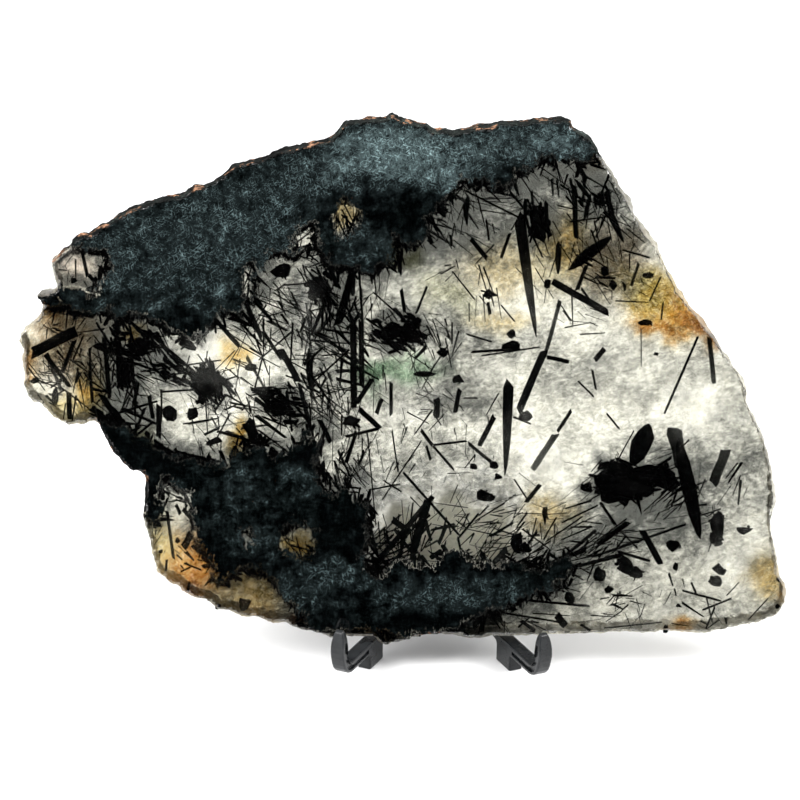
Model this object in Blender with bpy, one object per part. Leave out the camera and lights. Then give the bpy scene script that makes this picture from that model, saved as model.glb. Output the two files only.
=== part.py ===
"""A polished slice of tourmalinated quartz, leaning back on a small two-leaf plastic easel.

Metres, +Z up. The slice faces -Y, X runs along it, and the floor under the easel is z = 0.
The origin is the middle of the whole object's bounding box, at floor height.
"""
from math import acos, ceil, cos, exp, hypot, pi, radians, sin, tan

import bmesh
import bpy
from mathutils import Matrix, Vector, noise

MM = 0.001

# Slice
SLICE_WIDTH = 231 * MM  # of the front face, across both tips
SLICE_THICKNESS = 10 * MM
LEAN = radians(20)  # the top goes back by this angle
TURN = radians(0.7)  # how far the slice sits turned in its own plane, right end up
SLICE_RAISED = 0.5 * MM
EDGE_CHAMFER = 0.4 * MM  # the polished faces' sharp edges, just broken
RIM_STEP = 3.0 * MM  # longest straight run left along the rough rim
RIM_ROUGHNESS = 0.55 * MM
RIM_GRAIN = 4.5 * MM
RIM_SEED = Vector((3.1, 7.7, 1.3))
RIM_BULGE = 0.5 * MM
RING_SHARES = (0.2, 0.4, 0.6, 0.8)  # of the thickness, where the rim has its rings
RIND_SLANT = 2.5 * MM  # the rind isn't square to the cut: the back face sits this much higher
SEAT_HOLLOW = 3.0 * MM  # the rind's lowest lump thins towards the back, over the left arm
SEAT_MIDDLE = -1.0 * MM
SEAT_HALF_WIDTH = 16 * MM

# The outline of the front face, as pixels of the photograph, clockwise from the upper left
OUTLINE_ACROSS = (17.5, 787.0)
OUTLINE_CENTRE = (400.0, 400.0)
OUTLINE = (
    (51, 260), (57, 258), (61, 251), (67, 249), (71, 241), (79, 236.5), (86, 236.5), (96, 231),
    (102, 226), (112, 220), (120, 216), (130, 209.5), (140, 207), (150, 202), (158, 200),
    (180, 197), (187, 191), (193, 188), (201, 187), (216, 180), (222, 176), (226, 171.5),
    (240, 164.5), (250, 161), (262, 160), (270, 154), (281, 150.5), (290, 149.5), (298, 146.5),
    (310, 144), (322, 143), (330, 140), (337, 133), (344, 124), (350, 122), (360, 121),
    (368, 118.5), (377, 120), (385, 119.5), (391.5, 114.5), (400, 119.5), (409, 122),
    (420, 124), (428, 125.5), (431, 131), (438, 132), (443, 129.5), (455, 133), (471, 129),
    (480, 126), (490, 126.5), (500, 123.5), (525, 122.5), (540, 119.5), (562, 119),
    (571, 121.5), (576, 130), (584, 134), (592, 140), (604, 158), (619, 183), (630, 203),
    (646, 233), (657, 246), (668, 268), (678, 290), (690, 305), (706, 325), (725, 352),
    (740, 373), (749, 391), (748, 400), (753, 413), (765, 437), (773, 470), (776.5, 500),
    (772.5, 525), (776, 545), (779, 562), (780, 577), (786, 585), (787, 602), (783, 611),
    (778, 616), (769, 621), (755, 625), (745, 626.5), (734, 630), (718, 633), (703, 634.5),
    (669, 633.5), (600, 635.5), (545, 637), (494, 638), (470, 640), (455, 638), (440, 636.5),
    (420, 640), (405, 643.5), (384, 648.5), (379, 646), (375, 641), (366, 639), (330, 639),
    (315, 635), (305, 633.5), (290, 627.5), (283, 624), (274, 625.5), (257, 619.5),
    (248, 619.5), (238, 615), (216, 611), (211, 606), (200, 601.5), (187, 596), (178, 588),
    (166, 583), (158, 575), (153, 566), (150, 552), (143, 525), (142.5, 511), (145, 482),
    (141, 473.5), (131, 472), (124, 466), (112, 452), (100, 432), (93, 421), (82, 427),
    (75, 425), (69, 427.5), (54, 420), (48, 414), (41, 406), (32, 403.5), (28, 400),
    (21.5, 385), (23.5, 376), (21.5, 358), (23, 352), (17.5, 342), (20, 333), (31, 322.5),
    (38, 317), (42, 305), (37, 301), (36, 297), (38, 294), (56.5, 291.5), (55.5, 286),
    (52, 273), (50, 268),
)

# Easel: each leaf is an upright plate, drawn from the side with s running back from the front
# face of its front foot and z up from the floor
LEAF_THICKNESS = 4.4 * MM
SPLAY = radians(24.5)  # each leaf's turn from the straight-back direction
STAND_MIDDLE = 13.0 * MM  # the easel's middle, right of the outline's centre
FOOT_SPACING = 45.7 * MM  # between the two leaves' middle planes, at s = 0
FOOT_FRONT = -24.4 * MM  # y of s = 0, from the centre of the outline's front face
FACE_HEIGHT = 77.0 * MM  # of the outline's centre above the floor, before SLICE_RAISED
EDGE_RADIUS = 0.6 * MM
EDGE_ANGLE = radians(50)  # corners sharper than this are rounded
CLEARANCE = 0.3 * MM
RECESS_DEPTH = 0.8 * MM
SLOT_LEVEL = 21.5 * MM  # the two leaves' slots meet here
SLOT_ENDS = (-10 * MM, 90 * MM)  # the slot cutters end in free air, below and above the leaves
SLOT_CUTTER_LENGTH = 30 * MM
CUTTER_EXCESS = 2 * MM  # how far a recess's cutter stands out of the plate

# The hook, in millimetres of the side view below
ARM_TOP = 8.7
ARM_UNDER = 5.2
LIP_FRONT = -18.95
LIP_BACK = -15.0
LIP_TOP = 20.4
LIP_ROUNDING = 5.2  # the lip's end narrows over this height, to a round tip
LIP_CUTS = (0.0, 0.35, 0.6, 0.8, 0.92)  # shares of that height, where its outline bends
LIP_REACH = LIP_BACK + 1  # what lies in front of this belongs to the lip
LIP_TIP = 0.3  # square of the tip's width, as a share of the lip's

UPRIGHT_FOOT = 12.8  # where the upright's front edge starts, on the arm
UPRIGHT_TOP = 41.0
UPRIGHT_BACK = 4.8  # the upright's depth at its top
UPRIGHT_LEAN = tan(LEAN) / cos(SPLAY)  # so that both uprights lie along the slice's back
UPRIGHT_HEAD = UPRIGHT_FOOT + (UPRIGHT_TOP - ARM_TOP) * UPRIGHT_LEAN

# Corners of the leaf's side view in millimetres: s, z, corner radius
LEAF_PROFILE = (
    (0, 0, 0.5), (9, 0, 0.5), (9, 6.2, 1.2), (17, 7.4, 6), (40, 14, 14), (63, 14, 12),
    (77, 7, 3), (78.5, 0, 0.5), (88, 0, 0.5), (88.5, 5, 2), (74, 17.5, 12), (56, 29, 12),
    (36.5, 37, 6), (UPRIGHT_HEAD + UPRIGHT_BACK, UPRIGHT_TOP, 2.3),
    (UPRIGHT_HEAD, UPRIGHT_TOP, 2.3), (UPRIGHT_FOOT, ARM_TOP, 1.2),
    (LIP_BACK + 0.4, ARM_TOP, 2.4), (LIP_BACK - 0.7, LIP_TOP, 0.8), (LIP_FRONT + 1.5, LIP_TOP - 0.8, 1),
    (LIP_FRONT, 13.4, 7), (LIP_FRONT + 2.7, ARM_UNDER - 0.2, 6), (0, ARM_UNDER, 0.8),
)
WEB_RECESSES = (
    (
        (19, 13.2, 1), (39, 17.8, 6), (48, 17.8, 2), (48, 28.6, 2), (35.5, 33.6, 3),
        (31.2, 36.2, 1.2), (27.8, 36.2, 1.2),
    ),
    (
        (62.5, 17.6, 1), (70, 13.8, 3), (78.6, 8.6, 0.5), (80, 9.8, 0.5), (72.5, 15.6, 3),
        (62.5, 21.2, 1),
    ),
    (
        (-1.2, 6.1, 0.4), (-1.2, 7.4, 0.4), (-13.8, 7.4, 3), (-16.1, 16.4, 0.4), (-17.3, 16.4, 0.4),
        (-17.8, 13.2, 5), (-15.6, 6.1, 4.2),
    ),
)
ARC_STEP = radians(18)


def clear_scene():
    for obj in list(bpy.data.objects):
        bpy.data.objects.remove(obj, do_unlink=True)


def finish_material(name, colour, roughness, metallic=0.0):
    material = bpy.data.materials.new(name)
    material.use_nodes = True
    shader = material.node_tree.nodes["Principled BSDF"]
    shader.inputs["Base Color"].default_value = (*colour, 1.0)
    shader.inputs["Roughness"].default_value = roughness
    shader.inputs["Metallic"].default_value = metallic
    return material


def object_from(bm, name, material):
    bmesh.ops.recalc_face_normals(bm, faces=bm.faces[:])
    mesh = bpy.data.meshes.new(name)
    bm.to_mesh(mesh)
    bm.free()
    obj = bpy.data.objects.new(name, mesh)
    bpy.context.scene.collection.objects.link(obj)
    if material:
        mesh.materials.append(material)
    return obj


def front_outline():
    """The front face's outline in metres, u to the right and v up from its centre, finely divided."""
    pixel = SLICE_WIDTH / (OUTLINE_ACROSS[1] - OUTLINE_ACROSS[0])
    corners = []
    for across, down in OUTLINE:
        u = (across - OUTLINE_CENTRE[0]) * pixel
        v = (OUTLINE_CENTRE[1] - down) * pixel
        corners.append(Vector((u * cos(TURN) - v * sin(TURN), u * sin(TURN) + v * cos(TURN))))
    points = []
    for start, end in zip(corners, corners[1:] + corners[:1]):
        pieces = max(1, ceil((end - start).length / RIM_STEP))
        points += [start.lerp(end, i / pieces) for i in range(pieces)]
    return points


def outward_directions(points):
    """For each point of a clockwise outline, the direction that leads out of it."""
    directions = []
    for i, point in enumerate(points):
        along = points[(i + 1) % len(points)] - points[i - 1]
        directions.append(Vector((-along.y, along.x)).normalized())
    return directions


def rim_ring(points, outward, depth):
    """The slice's section at this depth behind the front face, as 3-D points."""
    share = depth / SLICE_THICKNESS
    to_edge = min(depth, SLICE_THICKNESS - depth)
    chamfer = max(0.0, EDGE_CHAMFER - to_edge)
    middle = sin(pi * share)
    ring = []
    for point, out in zip(points, outward):
        grain = noise.noise(Vector((point.x, depth, point.y)) / RIM_GRAIN + RIM_SEED)
        offset = middle * (RIM_BULGE + RIM_ROUGHNESS * 2 * grain) - chamfer
        moved = point + out * offset
        at_seat = exp(-(((point.x - SEAT_MIDDLE) / SEAT_HALF_WIDTH) ** 2)) if point.y < 0 else 0
        rise = RIND_SLANT * share + SEAT_HOLLOW * at_seat * (1 - (1 - share) ** 2)
        ring.append(Vector((moved.x, depth, moved.y + rise)))
    return ring


def make_slice():
    """One solid: two flat polished faces and a rough rim that follows the outline."""
    points = front_outline()
    outward = outward_directions(points)
    depths = [0, EDGE_CHAMFER]
    depths += [SLICE_THICKNESS * share for share in RING_SHARES]
    depths += [SLICE_THICKNESS - EDGE_CHAMFER, SLICE_THICKNESS]
    bm = bmesh.new()
    rings = [[bm.verts.new(p) for p in rim_ring(points, outward, d)] for d in depths]
    bm.faces.new(rings[0])
    bm.faces.new(reversed(rings[-1]))
    for near, far in zip(rings, rings[1:]):
        for i in range(len(near)):
            j = (i + 1) % len(near)
            bm.faces.new((near[i], near[j], far[j], far[i]))
    stone = finish_material("tourmalinated_quartz", (0.62, 0.61, 0.58), 0.08)
    piece = object_from(bm, "quartz_slice", stone)
    piece.location = (0, 0, FACE_HEIGHT + SLICE_RAISED)
    piece.rotation_euler = (-LEAN, 0, 0)
    return piece


def rounded(corners):
    """The outline through corners given as (s, z, radius) in millimetres, each corner an arc."""
    points = []
    for i, (s, z, radius) in enumerate(corners):
        corner = Vector((s, z))
        to_last = (Vector(corners[i - 1][:2]) - corner).normalized()
        to_next = (Vector(corners[(i + 1) % len(corners)][:2]) - corner).normalized()
        between = acos(max(-1.0, min(1.0, to_last.dot(to_next))))
        tangent = radius / tan(between / 2)
        bisector = (to_last + to_next).normalized()
        centre = corner + bisector * hypot(tangent, radius)
        start = corner + to_last * tangent - centre
        turn = pi - between
        sense = 1 if to_last.x * to_next.y - to_last.y * to_next.x < 0 else -1
        steps = max(1, ceil(turn / ARC_STEP))
        for k in range(steps + 1):
            angle = sense * turn * k / steps
            turned = Vector((
                start.x * cos(angle) - start.y * sin(angle),
                start.x * sin(angle) + start.y * cos(angle),
            ))
            points.append((centre + turned) * MM)
    return points


def plate(corners, low, high):
    """A flat plate with this side view, from y = low to y = high."""
    bm = bmesh.new()
    face = bm.faces.new([bm.verts.new((p.x, low, p.y)) for p in rounded(corners)])
    made = bmesh.ops.extrude_face_region(bm, geom=[face])
    moved = [v for v in made["geom"] if isinstance(v, bmesh.types.BMVert)]
    bmesh.ops.translate(bm, verts=moved, vec=(0, high - low, 0))
    return bm


def round_the_lip(bm):
    """Narrows the plate towards the lip's top, as half an ellipse seen from the front."""
    base = LIP_TOP - LIP_ROUNDING
    for share in LIP_CUTS:
        bmesh.ops.bisect_plane(
            bm, geom=bm.verts[:] + bm.edges[:] + bm.faces[:], dist=0.01 * MM,
            plane_co=(0, 0, (base + share * LIP_ROUNDING) * MM), plane_no=(0, 0, 1),
        )
    for vert in bm.verts:
        up = (vert.co.z / MM - base) / LIP_ROUNDING
        if vert.co.x < LIP_REACH * MM and up > 0:
            vert.co.y *= max(LIP_TIP, 1 - up * up) ** 0.5


def soften(bm):
    """Rounds the two outlines of a plate, where its flat sides meet its narrow faces."""
    sides = [e for e in bm.edges if e.calc_face_angle(0) > EDGE_ANGLE]
    bmesh.ops.bevel(
        bm, geom=sides, offset=EDGE_RADIUS, segments=2, profile=0.5, affect="EDGES", material=-1,
        clamp_overlap=True,
    )


def cut(piece, cutter):
    cutter.hide_render = True
    cutter.display_type = "WIRE"
    cutter.parent = piece
    modifier = piece.modifiers.new(cutter.name, "BOOLEAN")
    modifier.operation = "DIFFERENCE"
    modifier.solver = "EXACT"
    modifier.object = cutter


def slot_cutter(name, side, from_level, to_level):
    """The room that the other leaf takes where it crosses this one."""
    crossing = FOOT_SPACING / 2 / sin(SPLAY)
    width = LEAF_THICKNESS + 2 * CLEARANCE
    bm = bmesh.new()
    bmesh.ops.create_cube(bm, size=1)
    bmesh.ops.scale(bm, verts=bm.verts, vec=(SLOT_CUTTER_LENGTH, width, to_level - from_level))
    turned = Matrix.Rotation(side * 2 * SPLAY, 3, "Z")
    bmesh.ops.rotate(bm, verts=bm.verts, cent=(0, 0, 0), matrix=turned)
    bmesh.ops.translate(bm, verts=bm.verts, vec=(crossing, 0, (from_level + to_level) / 2))
    return object_from(bm, name, None)


def make_leaf(name, side, slot_from, slot_to, plastic):
    """side is +1 for the leaf whose hook is on the right, -1 for the left one."""
    half = LEAF_THICKNESS / 2
    bm = plate(LEAF_PROFILE, -half, half)
    soften(bm)
    round_the_lip(bm)
    leaf = object_from(bm, name, plastic)
    for number, corners in enumerate(WEB_RECESSES):
        for face, low in (("near", half - RECESS_DEPTH), ("far", -half - CUTTER_EXCESS)):
            high = low + RECESS_DEPTH + CUTTER_EXCESS
            recess = object_from(plate(corners, low, high), f"{name}_recess_{number}_{face}", None)
            cut(leaf, recess)
    cut(leaf, slot_cutter(f"{name}_slot", -side, slot_from, slot_to))
    leaf.location = (STAND_MIDDLE + side * FOOT_SPACING / 2, FOOT_FRONT, 0)
    leaf.rotation_euler = (0, 0, pi / 2 + side * SPLAY)
    return leaf


def centre_on_floor(pieces):
    """Hangs the pieces on one empty, moved so that the origin is under the middle of the whole."""
    bpy.context.view_layer.update()
    graph = bpy.context.evaluated_depsgraph_get()
    places = []
    for piece in pieces:
        shape = piece.evaluated_get(graph)
        places += [shape.matrix_world @ vert.co for vert in shape.data.vertices]
    middle = bpy.data.objects.new("middle", None)
    bpy.context.scene.collection.objects.link(middle)
    for piece in pieces:
        piece.parent = middle
    lows = [min(p[axis] for p in places) for axis in range(3)]
    highs = [max(p[axis] for p in places) for axis in range(3)]
    middle.location = (-(lows[0] + highs[0]) / 2, -(lows[1] + highs[1]) / 2, -lows[2])
    return middle.location


clear_scene()
black_plastic = finish_material("black_plastic", (0.012, 0.013, 0.014), 0.42)
stone_slice = make_slice()
leaves = (
    make_leaf("easel_right_leaf", 1, SLOT_ENDS[0], SLOT_LEVEL + CLEARANCE / 2, black_plastic),
    make_leaf("easel_left_leaf", -1, SLOT_LEVEL - CLEARANCE / 2, SLOT_ENDS[1], black_plastic),
)
shift = centre_on_floor([stone_slice, *leaves])
print("moved by", [round(value / MM, 2) for value in shift], "mm")
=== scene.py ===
# %% [markdown]
# # A slice of tourmalinated quartz on a small easel
#
# The stone is a sawn and polished slab of quartz. Black tourmaline grew first, as needles, blades and
# felted masses, and the clear to milky quartz then closed round it. The lesson dresses three solids that
# are already at their real size: the slab and the two leaves of its easel. Everything is in metres.

import random
from math import cos, pi, radians, sin

import bmesh
import bpy
import numpy as np
from mathutils import Matrix, Vector, noise
from mathutils.bvhtree import BVHTree


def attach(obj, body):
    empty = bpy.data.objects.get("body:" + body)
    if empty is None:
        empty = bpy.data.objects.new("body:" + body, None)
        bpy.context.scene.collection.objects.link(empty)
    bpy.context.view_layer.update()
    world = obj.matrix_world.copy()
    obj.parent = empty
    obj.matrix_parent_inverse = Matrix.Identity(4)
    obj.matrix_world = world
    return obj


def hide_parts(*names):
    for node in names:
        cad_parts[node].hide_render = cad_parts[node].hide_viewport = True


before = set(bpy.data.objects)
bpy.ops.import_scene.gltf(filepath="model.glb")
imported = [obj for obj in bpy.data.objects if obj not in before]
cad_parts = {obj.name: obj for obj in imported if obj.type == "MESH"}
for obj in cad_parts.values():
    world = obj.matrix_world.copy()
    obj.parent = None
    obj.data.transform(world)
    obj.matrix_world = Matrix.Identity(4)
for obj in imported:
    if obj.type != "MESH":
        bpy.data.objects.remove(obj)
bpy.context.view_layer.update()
print("solids:", sorted(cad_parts))

# %% [markdown]
# ## The slab's own directions
#
# The slab leans back, so its inside is easiest to think of in its own directions: u runs right along the
# polished front face, v runs up it, and depth goes straight back through the 10 mm of stone. Places were
# read from the photograph, in its pixels, and one pixel is 0.3 mm on the front face. The camera
# looks square onto that face, so a thing deep in the stone is set a little outward, along the bent ray.

# %% Slab directions and photograph places
MM = 0.001
LEAN = radians(20)
TURN = radians(0.7)
THICKNESS = 10.0
PIXEL = 0.3002
FACE_MIDDLE = Vector((-1.23, -7.32, 77.5)) * MM
PHOTO_MIDDLE = 400.0
VIEW_DISTANCE = 650.0
QUARTZ_IOR = 1.54
TO_WORLD = Matrix.Translation(FACE_MIDDLE) @ Matrix.Rotation(-LEAN, 4, "X") @ Matrix.Scale(MM, 4)


def across_and_up(px, py):
    """The place on the front face, in millimetres, that the photograph shows at this pixel."""
    right, up = (px - PHOTO_MIDDLE) * PIXEL, (PHOTO_MIDDLE - py) * PIXEL
    return right * cos(TURN) - up * sin(TURN), right * sin(TURN) + up * cos(TURN)


def in_stone(px, py, depth):
    """The place at this depth in the slab that is seen at this pixel, in the slab's millimetres."""
    u, v = across_and_up(px, py)
    outward = 1 + depth / (VIEW_DISTANCE * QUARTZ_IOR)
    return Vector((u * outward, depth, v * outward))


def pixels_of(points):
    """The pixels at which points of the slab, given in its millimetres, are seen."""
    outward = 1 + points[:, 1] / (VIEW_DISTANCE * QUARTZ_IOR)
    u, v = points[:, 0] / outward, points[:, 2] / outward
    right, up = u * cos(TURN) + v * sin(TURN), v * cos(TURN) - u * sin(TURN)
    return np.stack((PHOTO_MIDDLE + right / PIXEL, PHOTO_MIDDLE - up / PIXEL), axis=1)


def in_scene(name, data):
    """A new object at the origin, linked to the scene."""
    made = bpy.data.objects.new(name, data)
    bpy.context.scene.collection.objects.link(made)
    return made


def finished(bm, name, material):
    """A new piece, its place in its mesh, from a bmesh in the slab's millimetres."""
    bm.transform(TO_WORLD)
    bmesh.ops.recalc_face_normals(bm, faces=bm.faces[:])
    mesh = bpy.data.meshes.new(name)
    bm.to_mesh(mesh)
    bm.free()
    mesh.materials.append(material)
    return in_scene(name, mesh)


print("one pixel is", PIXEL, "mm on the front face")

# %% [markdown]
# ## Node helpers
#
# Every finish here is a node material. A few short helpers keep the cells readable: one makes a material,
# one adds a node and sets its values, and the others give the noise and the blends that are used over and
# over. Patterns read Object coordinates, which are metres here because every piece sits at the origin.

# %% Node helpers
def new_finish(name):
    """A material with only a Principled shader, and the tree that it is in."""
    material = bpy.data.materials.new(name)
    material.use_nodes = True
    return material, material.node_tree, material.node_tree.nodes["Principled BSDF"]


def node(tree, kind, inputs=None, **settings):
    """Adds a node. inputs maps a socket's name or number to a value or to another node's output."""
    made = tree.nodes.new(kind)
    for key, value in settings.items():
        setattr(made, key, value)
    for key, value in (inputs or {}).items():
        if isinstance(value, bpy.types.NodeSocket):
            tree.links.new(value, made.inputs[key])
        else:
            made.inputs[key].default_value = value
    return made


def tree_of(*values):
    """The tree of the first socket among these values, so that no helper has to be told it."""
    return next(value.id_data for value in values if isinstance(value, bpy.types.NodeSocket))


def slab_millimetres(tree, stretch=(1, 1, 1), turn=0):
    """Object coordinates in the slab's own directions, in millimetres, turned on its face and stretched."""
    place = node(tree, "ShaderNodeTexCoord").outputs["Object"]
    moved = node(tree, "ShaderNodeVectorMath", {0: place, 1: FACE_MIDDLE}, operation="SUBTRACT")
    values = {"Vector": moved.outputs[0], "Angle": LEAN}
    turned = node(tree, "ShaderNodeVectorRotate", values, rotation_type="X_AXIS")
    if turn:
        values = {"Vector": turned.outputs[0], "Angle": radians(turn)}
        turned = node(tree, "ShaderNodeVectorRotate", values, rotation_type="Y_AXIS")
    values = {0: turned.outputs[0], 1: Vector(stretch) / MM}
    return node(tree, "ShaderNodeVectorMath", values, operation="MULTIPLY").outputs[0]


def painted(tree, name, output="Fac"):
    """A value that was painted on the mesh's points."""
    return node(tree, "ShaderNodeAttribute", attribute_name=name).outputs[output]


# %% Node arithmetic
def worked_out(operation, *values):
    inputs = dict(enumerate(values))
    return node(tree_of(*values), "ShaderNodeMath", inputs, operation=operation).outputs[0]


def plus(a, b):
    return worked_out("ADD", a, b)


def minus(a, b):
    return worked_out("SUBTRACT", a, b)


def times(a, b):
    return worked_out("MULTIPLY", a, b)


def larger(a, b):
    return worked_out("MAXIMUM", a, b)


def between(value, low, high, to_low=0.0, to_high=1.0, kind="SMOOTHSTEP"):
    """Maps low..high to to_low..to_high, easing in and out, held at both ends."""
    values = {"Value": value, "From Min": low, "From Max": high, "To Min": to_low, "To Max": to_high}
    return node(tree_of(value), "ShaderNodeMapRange", values, interpolation_type=kind).outputs["Result"]


def straight(value, low, high, to_low, to_high):
    """The same in a straight line."""
    return between(value, low, high, to_low, to_high, "LINEAR")


def rest_of(share):
    return straight(share, 0.0, 1.0, 1.0, 0.0)


def blend(share, a, b, kind="MIX"):
    """A colour that goes from a to b as share goes from 0 to 1."""
    a, b = (value if isinstance(value, bpy.types.NodeSocket) else (*value, 1.0) for value in (a, b))
    inputs = {0: share, 6: a, 7: b}
    return node(tree_of(share, a, b), "ShaderNodeMix", inputs, data_type="RGBA", blend_type=kind).outputs[2]


def tinted(a, b, share=1.0):
    """Colour a seen through a filter of colour b."""
    return blend(share, a, b, "MULTIPLY")


# %% Noise and relief
def grain(place, size, detail=4.0, roughness=0.55, distortion=0.0):
    """Noise from 0 to 1 whose lumps are about this many millimetres across."""
    values = {"Vector": place, "Scale": 1 / size, "Detail": detail, "Roughness": roughness}
    values["Distortion"] = distortion
    return node(tree_of(place), "ShaderNodeTexNoise", values).outputs["Fac"]


def threads(place, size, width, distortion=2.5):
    """Thin wandering lines: the places where a noise of this size crosses its middle value."""
    away = worked_out("ABSOLUTE", minus(grain(place, size, 2, 0.5, distortion), 0.5))
    return between(away, 0.0, width, 1.0, 0.0)


def relief(shader, height, distance, strength=1.0):
    tree = shader.id_data
    bump = node(tree, "ShaderNodeBump", {"Height": height, "Distance": distance, "Strength": strength})
    tree.links.new(bump.outputs[0], shader.inputs["Normal"])


# %% [markdown]
# ## Where the tourmaline is felted
#
# Along the top and along the lower left the needles are so fine and so many that the stone is a dark
# green-grey felt, cut flush by the polish. These outlines were drawn round the dark masses and
# round the clear windows in them. Each point of the slab gets its distance to them, and the finish later
# frays that border with noise. Where a border is only colour, nothing is raised.

# %% Felted masses and their windows
FELT = {
    "top": (
        (66, 236), (60, 205), (200, 140), (330, 90), (560, 90), (598, 118), (603, 148), (590, 163),
        (566, 158), (540, 160), (520, 172), (508, 187), (478, 184), (462, 177), (444, 198),
        (428, 214), (424, 236), (408, 244), (398, 236), (390, 262), (372, 270), (354, 266),
        (330, 262), (318, 246), (291, 252), (272, 250), (262, 262), (252, 290), (240, 312),
        (222, 306), (212, 322), (196, 338), (178, 330), (160, 322), (138, 312), (120, 318),
        (104, 306), (90, 300), (100, 282), (112, 268), (108, 252), (92, 246),
    ),
    "lower left": (
        (148, 442), (166, 452), (189, 462), (226, 464), (246, 447), (262, 449), (274, 456),
        (288, 453), (300, 446), (306, 432), (316, 440), (318, 486), (332, 496), (346, 488),
        (356, 500), (366, 504), (368, 543), (360, 552), (364, 568), (380, 578), (398, 560),
        (412, 566), (434, 562), (450, 552), (480, 562), (509, 564), (543, 568), (566, 556),
        (574, 570), (560, 584), (544, 592), (508, 602), (484, 614), (446, 632), (400, 634),
        (356, 630), (330, 632), (308, 630), (300, 610), (288, 596), (274, 580), (256, 568),
        (238, 568), (228, 582), (216, 576), (206, 556), (200, 532), (192, 516), (190, 494),
        (172, 478), (160, 478), (163, 508), (158, 520), (138, 518), (132, 484), (116, 472),
        (98, 454), (86, 422), (120, 426), (134, 436),
    ),
    "lobe top": ((36, 296), (60, 290), (90, 292), (112, 304), (92, 312), (64, 306), (42, 306)),
    "top left rind": ((52, 260), (62, 246), (84, 234), (110, 222), (108, 240), (88, 245), (62, 256)),
}
MASSES = {  # pixels between neighbouring shards, the way that they lie in degrees, and the outline
    "left edge": (19.0, 85, (
        (94, 418), (102, 396), (106, 366), (106, 340), (122, 334), (136, 348), (138, 392), (152, 410),
        (146, 436), (126, 430), (112, 440),
    )),
    "left slope": (4.6, 42, (
        (98, 412), (112, 418), (150, 456), (186, 462), (180, 474), (146, 474), (112, 456),
    )),
    "left middle": (7.2, 35, (
        (134, 326), (150, 334), (166, 346), (180, 358), (192, 374), (222, 392), (208, 396), (186, 386),
        (160, 372), (140, 356), (130, 342),
    )),
    "left dark": (5.0, 60, ((198, 372), (210, 364), (218, 376), (228, 390), (216, 400), (202, 396))),
    "lobe middle": (9.0, 20, ((100, 330), (118, 322), (140, 332), (134, 350), (116, 352), (102, 346))),
    "cluster": (6.5, 25, (
        (258, 392), (268, 386), (292, 388), (300, 402), (294, 420), (276, 420), (262, 412),
    )),
    "cluster left": (5.4, 70, ((232, 456), (246, 442), (262, 444), (258, 462), (238, 468))),
    "middle lump": (7.5, 20, (
        (376, 322), (396, 318), (416, 318), (424, 330), (414, 346), (396, 350), (378, 340),
    )),
    "middle left": (10.5, 75, ((324, 258), (348, 262), (352, 288), (338, 314), (326, 304), (316, 282))),
    "upper right": (6.0, 85, ((526, 206), (544, 206), (546, 236), (536, 244), (526, 230))),
    "right": (9.0, 15, (
        (598, 462), (612, 468), (630, 464), (650, 470), (668, 468), (672, 480), (656, 496), (636, 506),
        (612, 504), (598, 494), (586, 488), (604, 478),
    )),
    "band": (11.0, 150, (
        (390, 552), (430, 552), (500, 560), (560, 560), (548, 574), (470, 570), (400, 572),
    )),
    "lower left": (6.6, 70, (
        (196, 470), (318, 450), (326, 500), (366, 520), (380, 580), (314, 586), (214, 538),
    )),
    "blade foot": (5.4, 110, ((342, 506), (366, 502), (368, 544), (346, 544))),
    "top middle": (5.6, 60, ((330, 236), (372, 230), (408, 246), (396, 268), (352, 268), (332, 254))),
    "under haze": (15.0, 60, (
        (408, 214), (436, 206), (470, 196), (500, 196), (470, 212), (436, 232), (412, 244),
    )),
    "under corner": (13.0, 70, ((560, 166), (600, 164), (612, 196), (590, 214), (572, 196))),
}
MASS_DEPTHS = (0.45, 1.9)
WINDOWS = {
    "upper": ((337, 240), (333, 216), (343, 200), (358, 203), (362, 222), (352, 238)),
    "small": ((290, 249), (298, 226), (312, 224), (320, 244), (304, 251)),
    "pale": ((243, 276), (252, 262), (262, 270), (254, 292), (246, 296)),
    "lower": ((282, 530), (296, 521), (315, 528), (316, 550), (296, 560), (280, 548)),
    "speck": ((243, 533), (253, 529), (259, 538), (247, 544)),
}

# %% Distance to an outline
def distance_inside(places, outline):
    """Pixels from each place to the outline, positive inside it."""
    corners = np.array(outline, float)
    best = np.full(len(places), 1e9)
    crossings = np.zeros(len(places), int)
    for a, b in zip(corners, np.roll(corners, -1, axis=0)):
        along = b - a
        share = np.clip(((places - a) @ along) / (along @ along), 0, 1)
        best = np.minimum(best, np.linalg.norm(places - a - share[:, None] * along, axis=1))
        spans = (a[1] > places[:, 1]) != (b[1] > places[:, 1])
        rise = along[1] if along[1] else 1.0
        left_of = places[:, 0] < a[0] + (places[:, 1] - a[1]) / rise * along[0]
        crossings += spans & left_of
    return np.where(crossings % 2 == 1, best, -best)


def felt_depth(places):
    """Pixels inside the felted masses, negative outside them and in their windows."""
    depth = np.max([distance_inside(places, outline) for outline in FELT.values()], axis=0)
    holes = np.max([distance_inside(places, outline) for outline in WINDOWS.values()], axis=0)
    return np.minimum(depth, -holes)


print(len(FELT), "felted masses,", len(WINDOWS), "windows,", len(MASSES), "masses of shards")
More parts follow.
